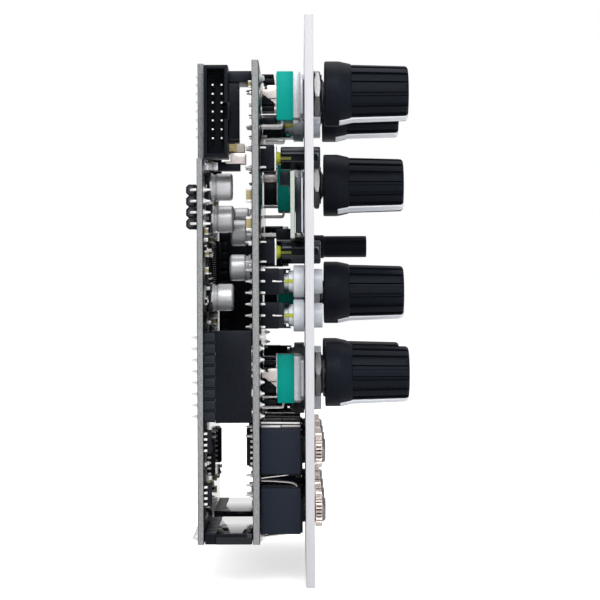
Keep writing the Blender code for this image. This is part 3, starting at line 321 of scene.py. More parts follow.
# Shapes: each function returns one closed bmesh with its faces pointing out


def finished(shape, edge=0.0):
    """Turns a shape's faces out, and rounds its sharp edges."""
    bmesh.ops.recalc_face_normals(shape, faces=shape.faces)
    if shape.calc_volume(signed=True) < 0:
        bmesh.ops.reverse_faces(shape, faces=shape.faces)
    if edge:
        sharp = [e for e in shape.edges if e.calc_face_angle(0) > math.radians(40)]
        bmesh.ops.bevel(shape, geom=sharp, offset=edge, segments=2, affect="EDGES", profile=0.5)
    return shape


def box(x0, x1, y0, y1, z0, z1, edge=EDGE):
    shape = bmesh.new()
    bmesh.ops.create_cube(shape, size=1)
    size = Matrix.Diagonal((x1 - x0, y1 - y0, z1 - z0, 1))
    shape.transform(Matrix.Translation(((x0 + x1) / 2, (y0 + y1) / 2, (z0 + z1) / 2)) @ size)
    return finished(shape, edge)


def block(x, z, width, height, y0, y1, edge=EDGE):
    """A box about (x, z), from y0 to y1."""
    half = width / 2
    rise = height / 2
    return box(x - half, x + half, min(y0, y1), max(y0, y1), z - rise, z + rise, edge)


def loft(rings, closed=False, edge=0.0):
    """Rings of points of equal count, joined in turn. The ends are capped, or joined when closed."""
    shape = bmesh.new()
    made = [[shape.verts.new(point) for point in ring] for ring in rings]
    for first, second in zip(made, made[1:] + made[:1] if closed else made[1:]):
        for i in range(len(first)):
            j = (i + 1) % len(first)
            shape.faces.new((first[i], first[j], second[j], second[i]))
    if not closed:
        shape.faces.new(made[0])
        shape.faces.new(made[-1])
    return finished(shape, edge)


def ring(radii, y, x=0, z=0):
    step = 2 * math.pi / len(radii)
    return [(x + r * math.sin(i * step), y, z + r * math.cos(i * step)) for i, r in enumerate(radii)]


def turned(profile, sides=ROUND, x=0, z=0, closed=False):
    """A profile of (radius, y) points turned about the axis along Y at (x, z)."""
    return loft([ring([radius] * sides, y, x, z) for radius, y in profile], closed)


def disc(radius, y0, y1, sides=ROUND, x=0, z=0):
    return turned(((radius, y0), (radius, y1)), sides, x, z)


def tube(inner, outer, y0, y1, sides):
    return turned(((inner, y0), (outer, y0), (outer, y1), (inner, y1)), sides, closed=True)


def softened(profile, radius, steps=4):
    """A profile with its inner corners rounded by arcs of about the given radius."""
    made = [profile[0]]
    for before, corner, after in zip(profile, profile[1:], profile[2:]):
        corner = Vector(corner)
        back = Vector(before) - corner
        on = Vector(after) - corner
        reach = min(radius, back.length / 2.2, on.length / 2.2)
        start = corner + back.normalized() * reach
        end = corner + on.normalized() * reach
        for step in range(steps + 1):
            share = step / steps
            first = start.lerp(corner, share)
            made.append(tuple(first.lerp(corner.lerp(end, share), share)))
    made.append(profile[-1])
    return made


def extruded(outline, y0, y1, edge=EDGE):
    """An outline of (x, z) points carried from y0 to y1."""
    return loft([[(x, y, z) for x, z in outline] for y in (y0, y1)], edge=edge)


def sideways(outline, x0, x1, edge=0.0):
    """An outline of (y, z) points carried from x0 to x1."""
    return loft([[(x, y, z) for y, z in outline] for x in (x0, x1)], edge=edge)


def chamfered(x, z, width, height, chamfer):
    """The outline of a rectangle about (x, z) with its corners cut."""
    w = width / 2
    h = height / 2
    outline = []
    for a, b in CORNERS:
        points = [(x + a * p, z + b * q) for p, q in ((w, h - chamfer), (w - chamfer, h))]
        outline += points if a == b else points[::-1]
    return outline


def plate(width, height, chamfer, y0, y1, edge=EDGE, z=0):
    """A flat piece with its corners cut, about the piece's own axis."""
    return extruded(chamfered(0, z, width, height, chamfer), y0, y1, edge)


def stadium(x, z, length, width, sides=24):
    """The outline of a slot with round ends, lying along X."""
    outline = []
    for end in (1, -1):
        for i in range(sides // 2 + 1):
            angle = math.pi * (2 * i / sides - 0.5) + (math.pi if end < 0 else 0)
            across = x + end * (length - width) / 2 + math.cos(angle) * width / 2
            outline.append((across, z + math.sin(angle) * width / 2))
    return outline


def strip(points, thickness, x0, x1):
    """A bent strip of sheet metal: its middle line in (y, z) points, carried from x0 to x1."""
    line = [Vector(point) for point in points]
    sides = ([], [])
    for i, point in enumerate(line):
        before = line[max(i - 1, 0)]
        after = line[min(i + 1, len(line) - 1)]
        along = (after - before).normalized()
        across = Vector((-along.y, along.x)) * thickness / 2
        sides[0].append(tuple(point + across))
        sides[1].append(tuple(point - across))
    return sideways(sides[0] + sides[1][::-1], x0, x1)


def wire(points, radius, sides=10):
    """A round wire through points, its ends square to it."""
    line = [Vector(point) for point in points]
    rings = []
    for i, point in enumerate(line):
        along = (line[min(i + 1, len(line) - 1)] - line[max(i - 1, 0)]).normalized()
        aside = aside - along * aside.dot(along) if i else along.orthogonal()
        aside.normalize()
        up = along.cross(aside)
        turns = [2 * math.pi * k / sides for k in range(sides)]
        rings.append([point + radius * (math.cos(a) * aside + math.sin(a) * up) for a in turns])
    return loft(rings)


def joint(x, z, y, towards, height, radius):
    """Solder drawn up a pin that stands on the face at y. Towards is -1 or 1 along Y."""
    shares = ((1.0, -0.06), (1.0, 0.0), (0.74, 0.14), (0.52, 0.36), (0.38, 0.62), (0.31, 0.86), (0.2, 1.0))
    profile = [(radius * wide, y + towards * height * rise) for wide, rise in shares]
    return turned(profile, 20, x, z)


def pin(x, z, y0, y1, side=0.64):
    """A square pin with pointed ends."""
    taper = side * 0.6
    levels = ((0.4, y0), (1, y0 + taper), (1, y1 - taper), (0.4, y1))
    half = side / 2
    return loft([[(x + a * half * k, y, z + b * half * k) for a, b in CORNERS] for k, y in levels])


def merge(whole, shape):
    """Moves a shape into a larger one."""
    mesh = bpy.data.meshes.new("shape")
    shape.to_mesh(mesh)
    shape.free()
    whole.from_mesh(mesh)
    bpy.data.meshes.remove(mesh)


class Piece:
    """Shapes gathered into one mesh, each with its own material."""

    def __init__(self):
        self.whole = bmesh.new()
        self.looks = []

    def add(self, look, *shapes):
        for shape in shapes:
            self.add_faced(shape, lambda face: look)

    def add_faced(self, shape, look_of):
        """Adds a shape whose faces take different looks."""
        for face in shape.faces:
            look = look_of(face)
            if look not in self.looks:
                self.looks.append(look)
            face.material_index = self.looks.index(look)
        merge(self.whole, shape)

    def mesh(self, name):
        made = bpy.data.meshes.new(name)
        self.whole.transform(Matrix.Scale(MM, 4))
        self.whole.to_mesh(made)
        self.whole.free()
        for look in self.looks:
            made.materials.append(LOOKS[look])
        made.shade_smooth()
        made.set_sharp_from_angle(angle=math.radians(32))
        return made


def carved(shape, cuts):
    """A shape less the cuts."""
    things = []
    for shapes in ([shape], cuts):
        whole = bmesh.new()
        for part in shapes:
            merge(whole, part)
        mesh = bpy.data.meshes.new("carved")
        whole.to_mesh(mesh)
        whole.free()
        things.append(bpy.data.objects.new("carved", mesh))
        bpy.context.scene.collection.objects.link(things[-1])
    body, tool = things
    boolean = body.modifiers.new("Cut", "BOOLEAN")
    boolean.operation = "DIFFERENCE"
    boolean.object = tool
    boolean.use_self = True
    graph = bpy.context.evaluated_depsgraph_get()
    result = bmesh.new()
    evaluated = bpy.data.meshes.new_from_object(body.evaluated_get(graph))
    result.from_mesh(evaluated)
    bpy.data.meshes.remove(evaluated)
    for thing in things:
        bpy.data.objects.remove(thing)
    return result


def show(node, mesh, slot, x=0.0, height=0.0, turn=0.0):
    """A piece that stands for a CAD node, and moves with its body. Slot is not used."""
    if isinstance(mesh, Piece):
        mesh = mesh.mesh(node)
    made = bpy.data.objects.new(node + "_detail", mesh)
    made.location = (x * MM, 0, (MID_Z + height) * MM)
    made.rotation_euler = (0, turn, 0)
    bpy.context.scene.collection.objects.link(made)
    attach(made, node if node in frame["bodies"] else "module")
    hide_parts(node)


# Knobs

KNOB_FOOT = PANEL_FRONT - 2.7
KNOB_TIP = KNOB_FOOT - 19.65
SHOULDER = KNOB_FOOT - 3.4
BODY_START = SHOULDER - 2.9
SKIRT_RADIUS = 7.6
BODY_RADIUS = 6.8
TIP_RADIUS = 6.45
TIP_EDGE = 0.85  # rounding of the tip
FLUTES = 16
FLUTE_DEPTH = 0.6
FLUTE_PHASE = 0.3  # share of the pitch
HOLLOW_RADIUS = 6.5
HOLLOW_DEPTH = 2.6
HUB_RADIUS = 3.8
POINTER_WIDTH = 2.2
POINTER_PROUD = 0.12
POINTER_REST = math.radians(-160)
KNOB_LAG = math.radians(8)  # turn of the upper centre knob past its rest


def knob_ring(radius, depth, y):
    """A ring of lands and steep-walled grooves: shares of the pitch, with shares of the depth."""
    shape = ((-0.3, 0), (-0.15, 0), (0, 0), (0.15, 0), (0.3, 0), (0.315, 1.4), (0.355, 1.4), (0.37, 0.75),
             (0.5, 0.8), (0.63, 0.75), (0.645, 1.4), (0.685, 1.4))
    step = 2 * math.pi / FLUTES
    points = []
    for flute in range(FLUTES):
        for share, low in shape:
            angle = (flute + share + FLUTE_PHASE) * step
            reach = radius - depth * low
            points.append((reach * math.sin(angle), y, reach * math.cos(angle)))
    return points


def pointer_shape(line, thickness):
    """A stripe that follows (radius, y) points on top of the knob, its edges rounded over."""
    half = POINTER_WIDTH / 2
    edge = 0.12
    rings = []
    for top, y in line:
        foot = top - thickness
        rings.append([(-half, y, foot), (half, y, foot), (half, y, top - edge), (half - edge, y, top),
                      (edge - half, y, top), (-half, y, top - edge)])
    return loft(rings)


def knob():
    piece = Piece()
    ledge = 0.15
    neck = BODY_RADIUS - 1.5
    roof = KNOB_FOOT - HOLLOW_DEPTH
    outer = [(HOLLOW_RADIUS, KNOB_FOOT), (SKIRT_RADIUS, KNOB_FOOT), (SKIRT_RADIUS, SHOULDER),
             (BODY_RADIUS + ledge, BODY_START), (neck, BODY_START)]
    profile = softened(outer, 0.4, 5) + [(neck, roof), (HOLLOW_RADIUS, roof)]
    hub = softened([(0.05, KNOB_FOOT), (HUB_RADIUS, KNOB_FOOT), (HUB_RADIUS, BODY_START)], 0.2)
    piece.add("knob", turned(profile, 96, closed=True), disc(HOLLOW_RADIUS - SINK, roof, BODY_START),
              turned(hub, 48))
    end = KNOB_TIP + 0.9
    top = TIP_RADIUS - TIP_EDGE
    rings = [knob_ring(BODY_RADIUS, FLUTE_DEPTH, BODY_START + SINK)]
    for share in [i / 8 for i in range(1, 9)]:
        radius = BODY_RADIUS + (TIP_RADIUS - BODY_RADIUS) * share
        rings.append(knob_ring(radius, FLUTE_DEPTH, BODY_START + (end - BODY_START) * share))
    for share in [i / 6 for i in range(1, 7)]:
        angle = math.pi / 2 * share
        y = end - TIP_EDGE * math.sin(angle)
        rings.append(knob_ring(top + TIP_EDGE * math.cos(angle), FLUTE_DEPTH * (1 - share), y))
    rings += [knob_ring(top * share, 0, KNOB_TIP) for share in (0.8, 0.4, 0.02)]
    piece.add("knob", loft(rings))
    stripe = [(SKIRT_RADIUS - 0.3, SHOULDER + 0.15), (SKIRT_RADIUS + POINTER_PROUD, SHOULDER - 0.15),
              (BODY_RADIUS + ledge + POINTER_PROUD, BODY_START), (TIP_RADIUS + POINTER_PROUD, end),
              (TIP_RADIUS - 0.15, KNOB_TIP + 0.3), (TIP_RADIUS - 0.8, KNOB_TIP + 0.02)]
    piece.add("white", pointer_shape(softened(stripe, 0.4, 3), 1.2))
    # The shaft under the knob is near-black steel: painted shade between the knob and the nut.
    piece.add("dark_steel", disc(2.9, KNOB_FOOT - SINK, 3.4, 32))
    return piece


# Nuts, washers and pots

THREAD_PITCH = 0.5
THREAD_DEPTH = 0.14
POT_WIDTH = 9.5
POT_HEIGHT = 11.4
POT_REAR = 6.5
POT_PLATE_REAR = 2.55
POT_DROP = 0.9  # from the shaft to the middle of the body
# Blocks behind a pot's body: low and high end, front and rear
POT_BARS = ((3.6, 4.2, 7.1, 9.95), (2.2, 3.1, 6.95, 9.6), (-2.9, -0.9, 7.2, 9.95),
            (-4.3, -3.2, 7.0, 9.9), (-7.1, -6.0, 6.7, 9.9))
CENTRE_BARS = ((2.8, 4.2, 7.0, 9.95), (-5.0, 0.3, 6.7, 9.9))
# Degrees that each nut came to rest at
NUT_TURNS = {"top_left": -12, "top_right": -26, "upper_centre": -18,
             "lower_centre": 17, "bottom_left": 1, "bottom_right": -8}


def threaded(radius, y0, y1):
    """Profile of a thread as rings, from y0 to y1."""
    count = round(abs(y1 - y0) / THREAD_PITCH)
    step = (y1 - y0) / count
    root = radius - THREAD_DEPTH
    profile = [(root, y0)]
    for i in range(count):
        profile += [(root, y0 + step * (i + 0.1)), (radius, y0 + step * (i + 0.5))]
    return profile + [(root, y1)]


def hexagon_nut(across, y0, y1, bore, sides=120):
    """A nut whose corners are turned down at both faces, so that each flat ends in two arcs."""
    flat = across / 2
    narrow = flat * 0.985
    levels = [(y0 + (y1 - y0) * 0.2 * share, share) for share in (0, 0.15, 0.3, 0.5, 0.75, 1.0)]
    levels += [(y0 + y1 - y, share) for y, share in reversed(levels)]
    sector = math.pi / HEXAGON
    rings = []
    for y, share in levels:
        limit = narrow + (flat / math.cos(sector) - narrow) * share
        angles = [2 * math.pi * i / sides for i in range(sides)]
        within = [(angle + sector) % (2 * sector) - sector for angle in angles]
        rings.append(ring([min(flat / math.cos(angle), limit) for angle in within], y))
    for reach, y in ((bore + 0.25, y1), (bore, y1 - 0.25), (bore, y0 + 0.25), (bore + 0.25, y0)):
        rings.append(ring([reach] * sides, y))
    return loft(rings, closed=True)


def nut():
    piece = Piece()
    rear = PANEL_FRONT - SEAT
    front = rear - 0.1
    # The washer takes the black plastic look: painted shade on a steel washer between the panel and the nut.
    piece.add("header", tube(3.7, 5.45, rear, front, 72))
    piece.add("dark_nickel_and_painted_shade", hexagon_nut(10.3, front - 1.45, front, 3.7))
    return piece


def pot(centre=False):
    """A potentiometer. The centre ones have straight lugs, and fewer blocks behind them."""
    piece = Piece()
    piece.add("green", block(0, -POT_DROP, POT_WIDTH, POT_HEIGHT, POT_PLATE_REAR, POT_REAR, 0.2))
    for inset, drop, corner, front, rear in ((0.3, 0.2, 0.5, SEAT + 0.7, POT_PLATE_REAR + SINK),
                                             (0.6, 1.2, 1.0, SEAT, SEAT + 0.8)):
        piece.add("steel", plate(POT_WIDTH - inset, POT_HEIGHT - drop, corner, front, rear, z=-POT_DROP))
    piece.add("tin", plate(POT_WIDTH - 1.0, 9.6, 0.6, POT_REAR - SINK, POT_REAR + 0.3, 0.08))
    end = PANEL_FRONT - 2.4
    bore = 2.95
    bushing = [(bore, end + 0.2), *threaded(3.5, end + 0.3, 0), (3.5, SEAT + SINK), (bore, SEAT + SINK)]
    rim = [(bore, end), (3.3, end), (3.45, end + 0.35), (bore, end + 0.35)]
    # The bushing's near-black steel is painted shade on its thread.
    for look, profile in (("dark_steel", bushing), ("steel", rim)):
        piece.add(look, turned(profile, 48, closed=True))
    # A black disc between the nut and the knob: painted shade.
    piece.add("header", disc(4.55, PANEL_FRONT - 2.1, PANEL_FRONT - 1.72, 48))
    outline = [(POT_REAR - SINK, 1.5), (8.5, 1.5), (9.2, 0.85), (9.7, 0.65), (CONTROL_SEAT, 0.65)]
    lug = outline + [(y, -rise) for y, rise in reversed(outline)]
    brace = [(POT_REAR, -1.7), (8.0, -1.7), (POT_REAR, -3.0)]
    for x in (0.4 - POT_WIDTH / 2, POT_WIDTH / 2 - 0.4):
        if centre:
            piece.add("rose", box(x - 0.25, x + 0.25, POT_REAR - SINK, CONTROL_SEAT, 0.5, 2.4, 0.2))
            continue
        piece.add("rose", sideways(lug, x - 0.25, x + 0.25, 0.06))
        piece.add("ink", block(x, 0.9, 0.54, 0.5, 8.6, 9.2, 0))
        piece.add("rose", sideways(brace, x - 0.15, x + 0.15))
    for z0, z1, y0, y1 in CENTRE_BARS if centre else POT_BARS:
        piece.add("header", box(-3.9, 3.9, y0, y1, z0, z1, 0.15))
    foot = -POT_DROP - POT_HEIGHT / 2 - 1.1
    start = POT_REAR - 1.35
    line = [(start, -6.4), (start, foot + 0.5), (start + 0.15, foot + 0.12), (start + 0.5, foot),
            (CONTROL_SEAT, foot)]
    for x in (-2.5, 0, 2.5):
        piece.add("tin", strip(line, 0.5, x - 0.45, x + 0.45))
        piece.add("tin", wire([(x * 1.5, y, -5.2) for y in (POT_REAR, CONTROL_SEAT)], 0.2))
    return piece


# Trimmer, push switches and lit buttons

PUSH_FRONT = CONTROL_SEAT - 3.6
LIT_FRONT = CONTROL_SEAT - 5.3
TRIMMER_FRONT = CONTROL_SEAT - 6.0


def trimmer_body():
    piece = Piece()
    piece.add("gloss_black", plate(9.6, 10.4, 0.5, TRIMMER_FRONT + 1.4, CONTROL_SEAT))
    piece.add("steel", plate(9.4, 10.2, 0.6, TRIMMER_FRONT, TRIMMER_FRONT + 1.5))
    piece.add("header", tube(3.1, 4.2, TRIMMER_FRONT - 1.2, TRIMMER_FRONT + SINK, 48))
    return piece


def trimmer_shaft():
    piece = Piece()
    radius = 2.75
    wide = radius + 0.25
    tip = PANEL_FRONT - 14.0
    collar = PANEL_FRONT - 3.0
    profile = [(0.05, 5.0), (radius, 5.0), (radius, 0), (wide, 0), (wide, collar), (radius, collar),
               (radius, tip), (0.05, tip)]
    cuts = [block(0, radius / 2, 0.7, radius, tip - 1, tip + 0.5, 0)]
    for i in range(18):
        knurl = block(0, radius + 0.18, 0.22, 0.6, tip + 0.8, collar - 0.6, 0)
        knurl.transform(Matrix.Rotation(2 * math.pi * i / 18, 4, "Y"))
        cuts.append(knurl)
    piece.add("knob", carved(turned(softened(profile, 0.25)), cuts))
    piece.add("white", block(0, radius * 0.55, 0.5, radius * 0.7, tip + 0.3, tip + 0.55, 0))
    return piece


def push_switch():
    piece = Piece()
    side = 6.0
    piece.add("header", plate(side, side, 0.5, PUSH_FRONT + 0.45, CONTROL_SEAT))
    cover = block(0, 0, side + 0.1, side + 0.1, PUSH_FRONT, PUSH_FRONT + 0.4, 0.08)
    piece.add("steel", carved(cover, [disc(2.05, PUSH_FRONT - 1, PUSH_FRONT + 1, 32)]))
    for a, b in CORNERS:
        piece.add("header", disc(0.4, PUSH_FRONT - 0.1, PUSH_FRONT + 0.5, 16, a * 2.3, b * 2.3))
        z = b * 2.25
        line = [(CONTROL_SEAT - 1.3, z), (CONTROL_SEAT - 0.6, z + 0.05), (CONTROL_SEAT, z)]
        x = a * (side / 2 + 0.1)
        piece.add("tin", strip(line, 0.4, x - 0.15, x + 0.15))
    return piece


def push_cap():
    piece = Piece()
    rear = PUSH_FRONT - 1.0
    tip = PANEL_FRONT - 1.6
    stem = [(0.05, PUSH_FRONT + 0.7), (1.75, PUSH_FRONT + 0.7), (1.75, PUSH_FRONT + 0.2),
            (1.3, rear - SINK), (0.05, rear - SINK)]
    piece.add("led", turned(softened(stem, 0.1), 32))
    cap = softened([(0.05, rear), (2.65, rear), (2.65, tip), (0.05, tip)], 0.45, 6)
    slots = [box(x, x + 1.1, tip + 0.7, rear + 1, -0.8, 0.8, 0) for x in (-3, 1.9)]
    piece.add("gloss_black", carved(turned(cap), slots))
    for side in (-1, 1):
        # Thin metal strips along the slots' edges: painted highlight lines.
        for z in (-0.85, 0.85):
            piece.add("dark_steel", block(side * 2.5, z, 0.12, 0.18, tip + 0.9, rear - 0.05, 0))
        piece.add("header", block(side * 1.88, 0, 0.06, 1.58, tip + 0.7, rear, 0))
        piece.add("olive", block(side * 1.88, -0.125, 0.1, 0.65, rear - 2.4, rear, 0))
    return piece


def lit_switch():
    piece = Piece()
    half = 3.0
    piece.add("header", block(0, 0, 2 * half, 2 * half, LIT_FRONT + 1.2, CONTROL_SEAT, 0.15))
    top = block(0, 0, 2 * half - 0.2, 2 * half - 0.2, LIT_FRONT, LIT_FRONT + 1.3)
    piece.add("header_grey", carved(top, [disc(2.15, LIT_FRONT - 1, LIT_FRONT + 1.2, 32)]))
    front = LIT_FRONT - 1.6
    step = LIT_FRONT - 0.45
    rail = ((LIT_FRONT + SINK, 1.95), (step, 1.95), (step, 2.56), (front + 0.3, 2.56), (front, 2.9),
            (LIT_FRONT + SINK, 2.9))
    for side in (-1, 1):
        piece.add("header", sideways([(y, side * z) for y, z in rail], SINK - half, half - SINK, 0.06))
        x = side * (half + 0.02)
        piece.add("tin", wire([(x, CONTROL_SEAT - 2.7, 0.05), (x, LIT_FRONT + 1.3, -0.05),
                               (x - side * 0.5, LIT_FRONT - 0.1, 0)], 0.2))
        for z in (-2.6, 0, 2.6):
            piece.add("tin", block(side * half, z, 0.2, 0.5, CONTROL_SEAT - 1.0, CONTROL_SEAT, 0.04))
    return piece


def lit_cap():
    """A cap with its flange and collar behind the panel, a light diode in it and a dome on its stem."""
    piece = Piece()
    rear = SEAT + 2.45
    neck = rear + 1.15
    tip = PANEL_FRONT - 2.0
    behind = [(1.2, LIT_FRONT + 0.6), (1.85, LIT_FRONT + 0.6), (1.85, neck), (2.5, neck), (2.5, rear),
              (3.7, rear), (3.7, SEAT), (1.2, SEAT)]
    before = [(1.2, SEAT + SINK), (2.825, SEAT + SINK), (2.825, tip), (0.05, tip), (0.05, tip + 0.9),
              (1.2, tip + 0.9)]
    # The flange and collar take the lighter copy of the cap's plastic: painted light.
    for look, profile in (("painted_light_translucent", behind), ("translucent", before)):
        piece.add(look, turned(softened(profile, 0.22, 3), 56, closed=True))
    for half, start, end in ((2.54, rear + 0.05, neck + 0.02), (1.95, neck + 0.05, LIT_FRONT - 0.1)):
        piece.add("led", box(-half, half, start, end, -0.45, 0.5, 0.08))
    dome = [(0.95 * math.cos(a), rear - 0.6 - 0.95 * math.sin(a)) for a in (0, 0.4, 0.8, 1.2, 1.5)]
    piece.add("led", turned([(0.95, LIT_FRONT + 0.5)] + dome, 32))
    return piece


# Display

DISPLAY_PINS = 4
DISPLAY_ROW = 1.25  # from the board's lower edge up to its pins


def show_display():
    low, high = corners_of("display_board")
    front, rear = [corner.y for corner in corners_of("display_screen")]
    x, z = middle("display_screen")
    start = rear + SEAT
    end = start + 0.95
    foot, top = [z + side * (high.z - low.z) / 2 for side in (-1, 1)]
    piece = Piece()
    piece.add("pale_board", block(x, z, high.x - low.x, high.z - low.z, start, end, 0.05))
    row = foot + DISPLAY_ROW
    piece.add("header", block(x, row, DISPLAY_PINS * PITCH, 2.5, end - SINK, end + 3.4))
    for i in range(DISPLAY_PINS):
        spot = x + (i - (DISPLAY_PINS - 1) / 2) * PITCH
        piece.add("tin", pin(spot, row, start - 0.5, CONTROL_SEAT), joint(spot, row, end, 1, 0.5, 0.8))
    flex = [(start - 0.2, top - 1.2), (start - 0.1, top), (start + 0.5, top + 0.02),
            (end + 0.25, top - 0.1), (end + 0.3, top - 4)]
    piece.add("copper", strip(flex, 0.1, x - 6, x + 6))
    piece.add("header", block(low.x + 3.2, top - 1.6, 5, 3.0, end, end + 2.3, 0.15))
    show("display_board", piece, "circuit_board")

    low, high = corners_of("display_screen")
    piece = Piece()
    for look, inset, y0, y1, edge in (("glass", 0, front, front + 0.3, 0.1),
                                      ("white", 0.1, front + 0.25, front + 0.6, 0.05),
                                      ("gloss_black", 0, front + 0.55, rear, 0.05)):
        piece.add(look, block(x, z, high.x - low.x - inset, high.z - low.z - inset, y0, y1, edge))
    piece.add("lit_area", block(x, z, 21.7, 5.6, front - 0.01, front + 0.1, 0))
    show("display_screen", piece, "glass")


# Jacks

JACK_FRONT = 0.7
JACK_HALF = 5.25  # height of the body
JACK_BORE = 1.8
JACK_NUT = 3.95
JACK_DROP = 0.25  # from the middle of a jack's box to its axis
JACK_SPLIT = -40  # height between the two rows


def jack(lower):
    """A jack. Its ground strip runs straight in the upper row, and curves in the lower one."""
    piece = Piece()
    half = JACK_HALF
    piece.add("jack", plate(9.0, 2 * half, 0.4, JACK_FRONT + 0.45, CONTROL_SEAT, 0.15))
    piece.add("header", plate(8.4, 2 * half - 2.4, 0.8, JACK_FRONT, JACK_FRONT + 0.5, 0.1, -1.0))
    tip = PANEL_FRONT - 2.5
    barrel = [(JACK_BORE + 0.2, tip), (2.45, tip), (2.6, tip + 0.15)]
    barrel += threaded(3.0, tip + 0.65, JACK_FRONT + SINK)
    barrel += [(JACK_BORE, JACK_FRONT + SINK), (JACK_BORE, tip + 0.2)]
    piece.add("dark_nickel_and_painted_shade", turned(barrel, 48, closed=True))
    rear = PANEL_FRONT - SEAT
    front = rear - 1.55
    knurls = [JACK_NUT - depth for depth in (0.25, 0, 0, 0.25, 0.5, 0.5)] * 26
    bore = [3.1] * len(knurls)
    plain = [JACK_NUT - 0.35] * len(knurls)
    rings = ((bore, rear), (plain, rear), (knurls, rear - 0.1), (knurls, front + 0.15), (plain, front),
             (bore, front))
    piece.add("warm_nickel", loft([ring(radii, y) for radii, y in rings], closed=True))
    piece.add("header", disc(JACK_NUT - 0.4, rear - 0.2, front + 0.2, 72))
    piece.add("gloss_black", disc(JACK_BORE - 0.02, JACK_FRONT + 1.2, JACK_FRONT + 1.3, 32))
    if lower:
        curve = [(CONTROL_SEAT, half + 1.3), (7.5, half + 1.25), (4.2, half + 1.0), (2.9, half + 0.75),
                 (2.2, half + 0.4), (1.9, half - SINK)]
        piece.add("rose", strip(curve, 0.24, -1.5, 1.5))
    else:
        for look, y0, y1, gap in (("rose", JACK_FRONT + 0.5, CONTROL_SEAT - 4.6, 0.12),
                                  ("tin", CONTROL_SEAT - 4.4, CONTROL_SEAT, 0.05)):
            piece.add(look, box(-1.5, 1.5, y0, y1, half + gap, half + 0.48, 0.06))
        for x in (-1.2, 1.2):
            line = ((x, JACK_FRONT + 0.6, half + 0.95), (x, 6, half + 1.0), (x, CONTROL_SEAT, half + 1.05))
            # The wires take the white, hardly metallic tin: painted light on tin that sits in shade.
            piece.add("painted_light_tin", wire(line, 0.13))
    piece.add("dark_steel", box(-1.2, 1.2, JACK_FRONT + 1.2, CONTROL_SEAT - 0.2, half - SINK, half + 0.2, 0))
    under = ((0, 1.0), (2, 0.75), (5.5, 0.35), (6.6, 0.1), (7.0, -0.3))
    piece.add("nickel", strip([(CONTROL_SEAT - y, -half - z) for y, z in under], 0.22, -1.3, 1.3))
    return piece


# Headers


def node_box(node, edge):
    low, high = corners_of(node)
    return box(low.x, high.x, low.y, high.y, low.z, high.z, edge)


def pins_of(node, count, along_x):
    """Places of a header's pins, worked out from its box."""
    x, z = middle(node)
    steps = [(i - (count - 1) / 2) * PITCH for i in range(count)]
    return [(x + step, z) if along_x else (x, z + step) for step in steps]


def show_socket(node, pins):
    look = "smooth_header" if node.startswith("bottom") else "header"
    rear = corners_of(node)[1].y
    levels = ((0.85, rear + 0.2), (0.85, rear), (0.55, rear - 0.35), (0.55, rear - 6.2))
    holes = [loft([[(x + a * half, y, z + b * half) for a, b in CORNERS] for half, y in levels])
             for x, z in pins]
    piece = Piece()
    piece.add(look, carved(node_box(node, 0.12), holes))
    piece.add("tin", *[block(x, z, 0.9, 0.5, rear - 6.2, rear - 2.0, 0) for x, z in pins])
    show(node, piece, "black_plastic")


def show_base(node, pins):
    """A strip of cells with a narrower web between them, and the pins that run into the socket."""
    low, high = corners_of(node)
    rear = high.y
    front = corners_of(node.replace("_pins", "_socket"))[1].y + 0.03
    turn = 1 if high.x - low.x > high.z - low.z else -1
    cell, web, line = [size[::turn] for size in ((PITCH - 0.65, PITCH), (PITCH, PITCH - 0.5),
                                                 (0.16, PITCH - 0.2))]
    piece = Piece()
    for x, z in pins:
        piece.add("header_grey", block(x, z, *cell, front, rear, 0.08))
        piece.add("header", block(x, z, *web, front + 0.1, rear - 0.1, 0))
        piece.add("tin", pin(x, z, low.y, rear))
    for (x0, z0), (x1, z1) in zip(pins, pins[1:]):
        between = block((x0 + x1) / 2, (z0 + z1) / 2, *line, front + 0.05, rear - 0.05, 0)
        piece.add("header_grey", between)
    show(node, piece, "black_plastic")


def show_joined(node, pins):
    """Socket and base in one piece, the base narrowed where it snaps apart."""
    low, high = corners_of(node)
    split = low.y + 8.1
    piece = Piece()
    piece.add("header_grey", box(low.x, high.x, low.y, split, low.z, high.z))
    piece.add("header", box(low.x + 0.25, high.x - 0.25, split - SINK, high.y, low.z + 0.25, high.z - 0.25))
    for x, z in pins:
        outline = chamfered(x, z, PITCH, PITCH - 0.04, 0.42)
        piece.add("header_grey", extruded(outline, split + 0.1, high.y, 0.08))
        piece.add("tin", pin(x, z, split - 0.5, high.y - SINK))
    show(node, piece, "black_plastic")


BUS_PINS = 7
BUS_PITCH = 2.0
BUS_REACH = 5.0


